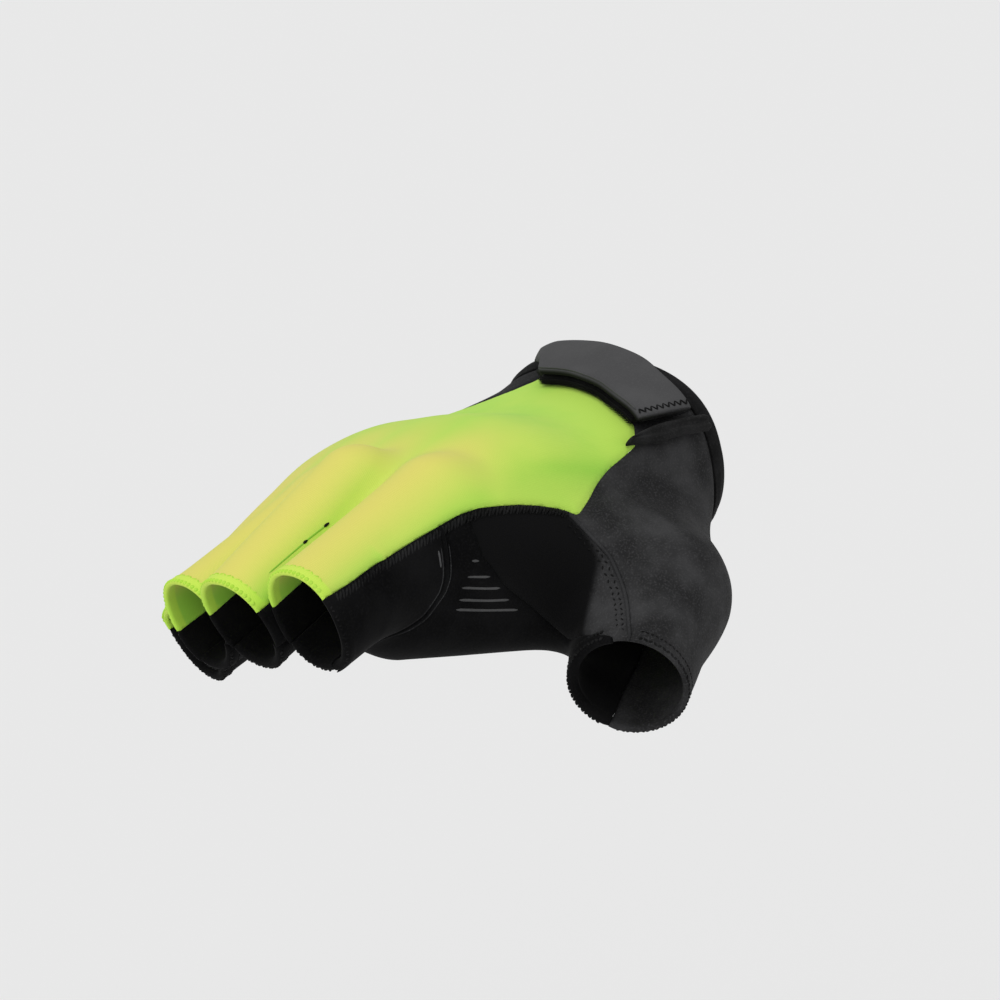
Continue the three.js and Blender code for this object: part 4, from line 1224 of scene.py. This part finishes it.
tab_length = math.radians(tab_end_angle - anchor_angle) * palm_depth * 0.62
hook_rows = 80
hook_share = np.linspace(0, 1, hook_rows)
hook_angle = anchor_angle + 3 + (tab_end_angle - anchor_angle - 6) * hook_share
hook_start, hook_end = tab_edges(hook_angle)
hook_level = wrist_point(hook_start, np.radians(hook_angle), 0)[:, 2]
beyond_cuff = (cuff_width + 0.8 + hook_level * math.sin(opening_tilt)) / math.cos(opening_tilt)
hook_corner = end_rounding((1 - hook_share) * tab_length, 3)
hook_start = np.maximum(hook_start + hook_inset, beyond_cuff) + hook_corner
hook_end = hook_end - 0.4 - hook_corner
hook_walls = np.full(hook_rows, hook_wall)
hook_patch = round_strip("hook_tape_strip", hook_start, hook_end, hook_angle, layer_gap, hook_walls)
hook_tape = suede_material("hook_tape", (0.006, 0.006, 0.006, 1), (0.02, 0.02, 0.02, 1), 1.0)
finish_piece(hook_patch, hook_tape)
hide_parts("hook_patch")

# Closure tab. It is a soft grey strip, smooth on top, that lies over the back of the wrist from its
# sewn end on the thumb side to its free end.
tab_corner = 5
tab_share = 1 - np.linspace(1, 0, 110) ** 1.6
tab_angle = anchor_angle + (tab_end_angle - anchor_angle) * tab_share
tab_rest = (1 - tab_share) * tab_length
tab_start, tab_end = tab_edges(tab_angle)
tab_rounding = end_rounding(tab_rest, tab_corner)
tab_start = tab_start + tab_rounding
tab_end = tab_end - tab_rounding
tab_thick = tab_wall * np.minimum(1, 0.3 + 0.7 * np.sqrt(np.minimum(tab_rest, 1)))
tab_lift = layer_gap + hook_wall + layer_gap
closure_tab = round_strip("grey_tab_strip", tab_start, tab_end, tab_angle, tab_lift, tab_thick)
tab_skin = suede_material("tab_skin", (0.064, 0.064, 0.066, 1), (0.085, 0.085, 0.087, 1), 0.15)
darken(tab_skin, "upper_side", (0.005, 0.005, 0.005, 1))
finish_piece(closure_tab, tab_skin)
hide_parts("closure_tab")

# Anchor band. It is a folded knit strip with two raised ridges that holds the tab's sewn end, and it
# runs out in a pointed flap.
anchor_wall = 3.2
anchor_edges = named_columns("along upper lower", [
    (0.07, 21.2, 15.5), (0.18, 21.2, 16), (0.21, 21, 15.3), (0.25, 20.2, 16.3), (0.298, 18.8, 17.6),
])
anchor_rows = 60
anchor_columns = 40
anchor_along = np.linspace(0.07, 0.298, anchor_rows)
anchor_upper = read_smooth(anchor_edges, "along", "upper", anchor_along)[:, None]
anchor_lower = read_smooth(anchor_edges, "along", "lower", anchor_along)[:, None]
band_across, band_height = oval(anchor_columns, 2.6)
band_angle = (anchor_upper + anchor_lower) / 2 + (anchor_upper - anchor_lower) / 2 * band_across
band_ridge = -0.35 * np.cos(2 * math.pi * band_across) * np.maximum(band_height, 0)
band_lift = np.tile(layer_gap + anchor_wall / 2 * (1 + band_height) + band_ridge, anchor_rows)
band_x = np.repeat(anchor_along * palm_length, anchor_columns)
band_points = wrist_point(band_x, np.radians(band_angle.ravel()), band_lift)
anchor_band = tube("anchor_band_strip", band_points.reshape(anchor_rows, anchor_columns, 3))
anchor_knit = suede_material("anchor_knit", (0.009, 0.009, 0.009, 1), (0.035, 0.035, 0.036, 1), 0.7)
finish_piece(anchor_band, anchor_knit)
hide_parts("anchor_band")

# Stitches and hooks of the closure. A black zigzag holds the tab's sewn end, a paler rim runs round its
# lower edge, and the hook tape's bristles stand out from under it.
rim_share = np.linspace(0.03, 0.95, 120)
rim_angle = anchor_angle + (tab_end_angle - anchor_angle) * rim_share
rim_edge = tab_edges(rim_angle)[1] - end_rounding((1 - rim_share) * tab_length, tab_corner)
tab_top = tab_lift + tab_wall
rim_path = wrist_point(rim_edge - 0.6, slanted(rim_angle, 1), tab_top - 0.2)
tab_rim = suede_material("tab_rim", (0.06, 0.06, 0.062, 1), (0.08, 0.08, 0.082, 1), 0.1)
finish_piece(cord("tab_rim_line", (rim_path, form_normal(rim_path)), 0.5, 0.35), tab_rim)
sewn_share = np.linspace(0, 1, 30)
sewn_angle = np.full(len(sewn_share), anchor_angle + 1.6)
sewn_start, sewn_end = tab_edges(sewn_angle)
sewn_x = sewn_start + 1 + (sewn_end - sewn_start - 2) * sewn_share
sewn_path = wrist_point(sewn_x, np.radians(sewn_angle), tab_top)
zigzag_line = (sewn_path, form_normal(sewn_path))
stitched("tab_zigzag", [zigzag_line], black_thread, 0.8, (1.9, 0.4, 0.34), 62, 1.0)
bristle_lines = []
for level in (0.5, 1.0, 1.5):
    bristle_path = wrist_point(hook_end + 0.35, slanted(hook_angle, 1), layer_gap + level)
    bristle_lines.append((bristle_path, form_normal(bristle_path)))
stitched("hook_bristles", bristle_lines, black_thread, 0.36, (1.9, 0.2, 0.2), 66, 0.5)

# Fold between the index and the middle finger. A thin dark green line along it is painted shade in the
# crease, and two small black dashes lie at the roots of the fingers.
dark_dash_places = [((97.2, 12.3, 5.9), (98.7, 12.3, 5.3)), ((103.0, 12.1, 3.5), (104.3, 12.1, 3.0))]
fold_places = [(97.2, 12.3, 5.9), (103.0, 12.15, 3.6), (113.5, 12.0, -1.0)]
crease_shade_green = suede_material("crease_shade_green", (0.24, 0.50, 0.05, 1), (0.30, 0.56, 0.06, 1), 0.2)
# Painted shade: the dark green line along the crease between the fingers
finish_piece(short_cord("finger_fold_line", fold_places, 0.5, 0.3, 0.16), crease_shade_green)
for n, ends in enumerate(dark_dash_places):
    finish_piece(short_cord(f"finger_dark_dash_{n}", ends, 0.3, 0.6, 0.4), black_thread)

# Floor. It is a plain pale sheet without gloss, far below the glove, which hangs free in the air
# above it.
floor_level = -0.30
floor_half = 15.0
floor_mesh = bpy.data.meshes.new("floor")
floor_corners = ((-1, -1), (1, -1), (1, 1), (-1, 1))
floor_points = [(x * floor_half, y * floor_half, floor_level) for x, y in floor_corners]
floor_mesh.from_pydata(floor_points, [], [(0, 1, 2, 3)])
floor = bpy.data.objects.new("floor", floor_mesh)
bpy.context.scene.collection.objects.link(floor)
floor_material, _, floor_shader = shader_tree("pale_floor")
floor_shader.inputs["Base Color"].default_value = (0.85, 0.85, 0.85, 1)
set_finish(floor_shader, 0.9, 0.0)
floor_mesh.materials.append(floor_material)

# Light. One broad, soft lamp from above and in front gives form, and an even white sky fills the
# shadows.
scene = bpy.context.scene
scene.view_settings.view_transform = "Standard"
world = bpy.data.worlds.new("studio")
world.use_nodes = True
world.node_tree.nodes["Background"].inputs[0].default_value = (1, 1, 1, 1)
world.node_tree.nodes["Background"].inputs[1].default_value = 0.55
scene.world = world
key_data = bpy.data.lights.new("key_light", "SUN")
key_data.energy = 1.55
key_data.angle = math.radians(70)
key_light = bpy.data.objects.new("key_light", key_data)
light_back = unit(np.array([0.55, 0.25, 0.85]))
light_side = unit(np.cross([0, 0, 1.0], light_back))
light_axes = np.column_stack([light_side, np.cross(light_back, light_side), light_back])
key_light.matrix_world = Matrix(light_axes.tolist()).to_4x4()
scene.collection.objects.link(key_light)

# Camera. It stands in front of the thumb side, a little above the glove, and is turned slightly on
# its side. Its lens is long, so that the glove keeps its proportions.
camera_place = (0.5206, 0.5418, 0.1642)
camera_turn = math.radians(-131.68)
camera_tilt = math.radians(-12.99)
camera_roll = math.radians(-4.72)
camera_data = bpy.data.cameras.new("camera")
camera_data.lens = 121.27
camera_data.sensor_width = 36
camera = bpy.data.objects.new("camera", camera_data)
flat_forward = np.array([math.cos(camera_turn), math.sin(camera_turn), 0.0])
camera_forward = flat_forward * math.cos(camera_tilt) + np.array([0.0, 0.0, math.sin(camera_tilt)])
level_right = np.cross(flat_forward, [0.0, 0.0, 1.0])
level_up = np.cross(level_right, camera_forward)
camera_right = level_right * math.cos(camera_roll) + level_up * math.sin(camera_roll)
camera_up = np.cross(camera_right, camera_forward)
axes = np.column_stack([camera_right, camera_up, -camera_forward])
camera.matrix_world = Matrix.Translation(camera_place) @ Matrix(axes.tolist()).to_4x4()
scene.collection.objects.link(camera)
scene.camera = camera
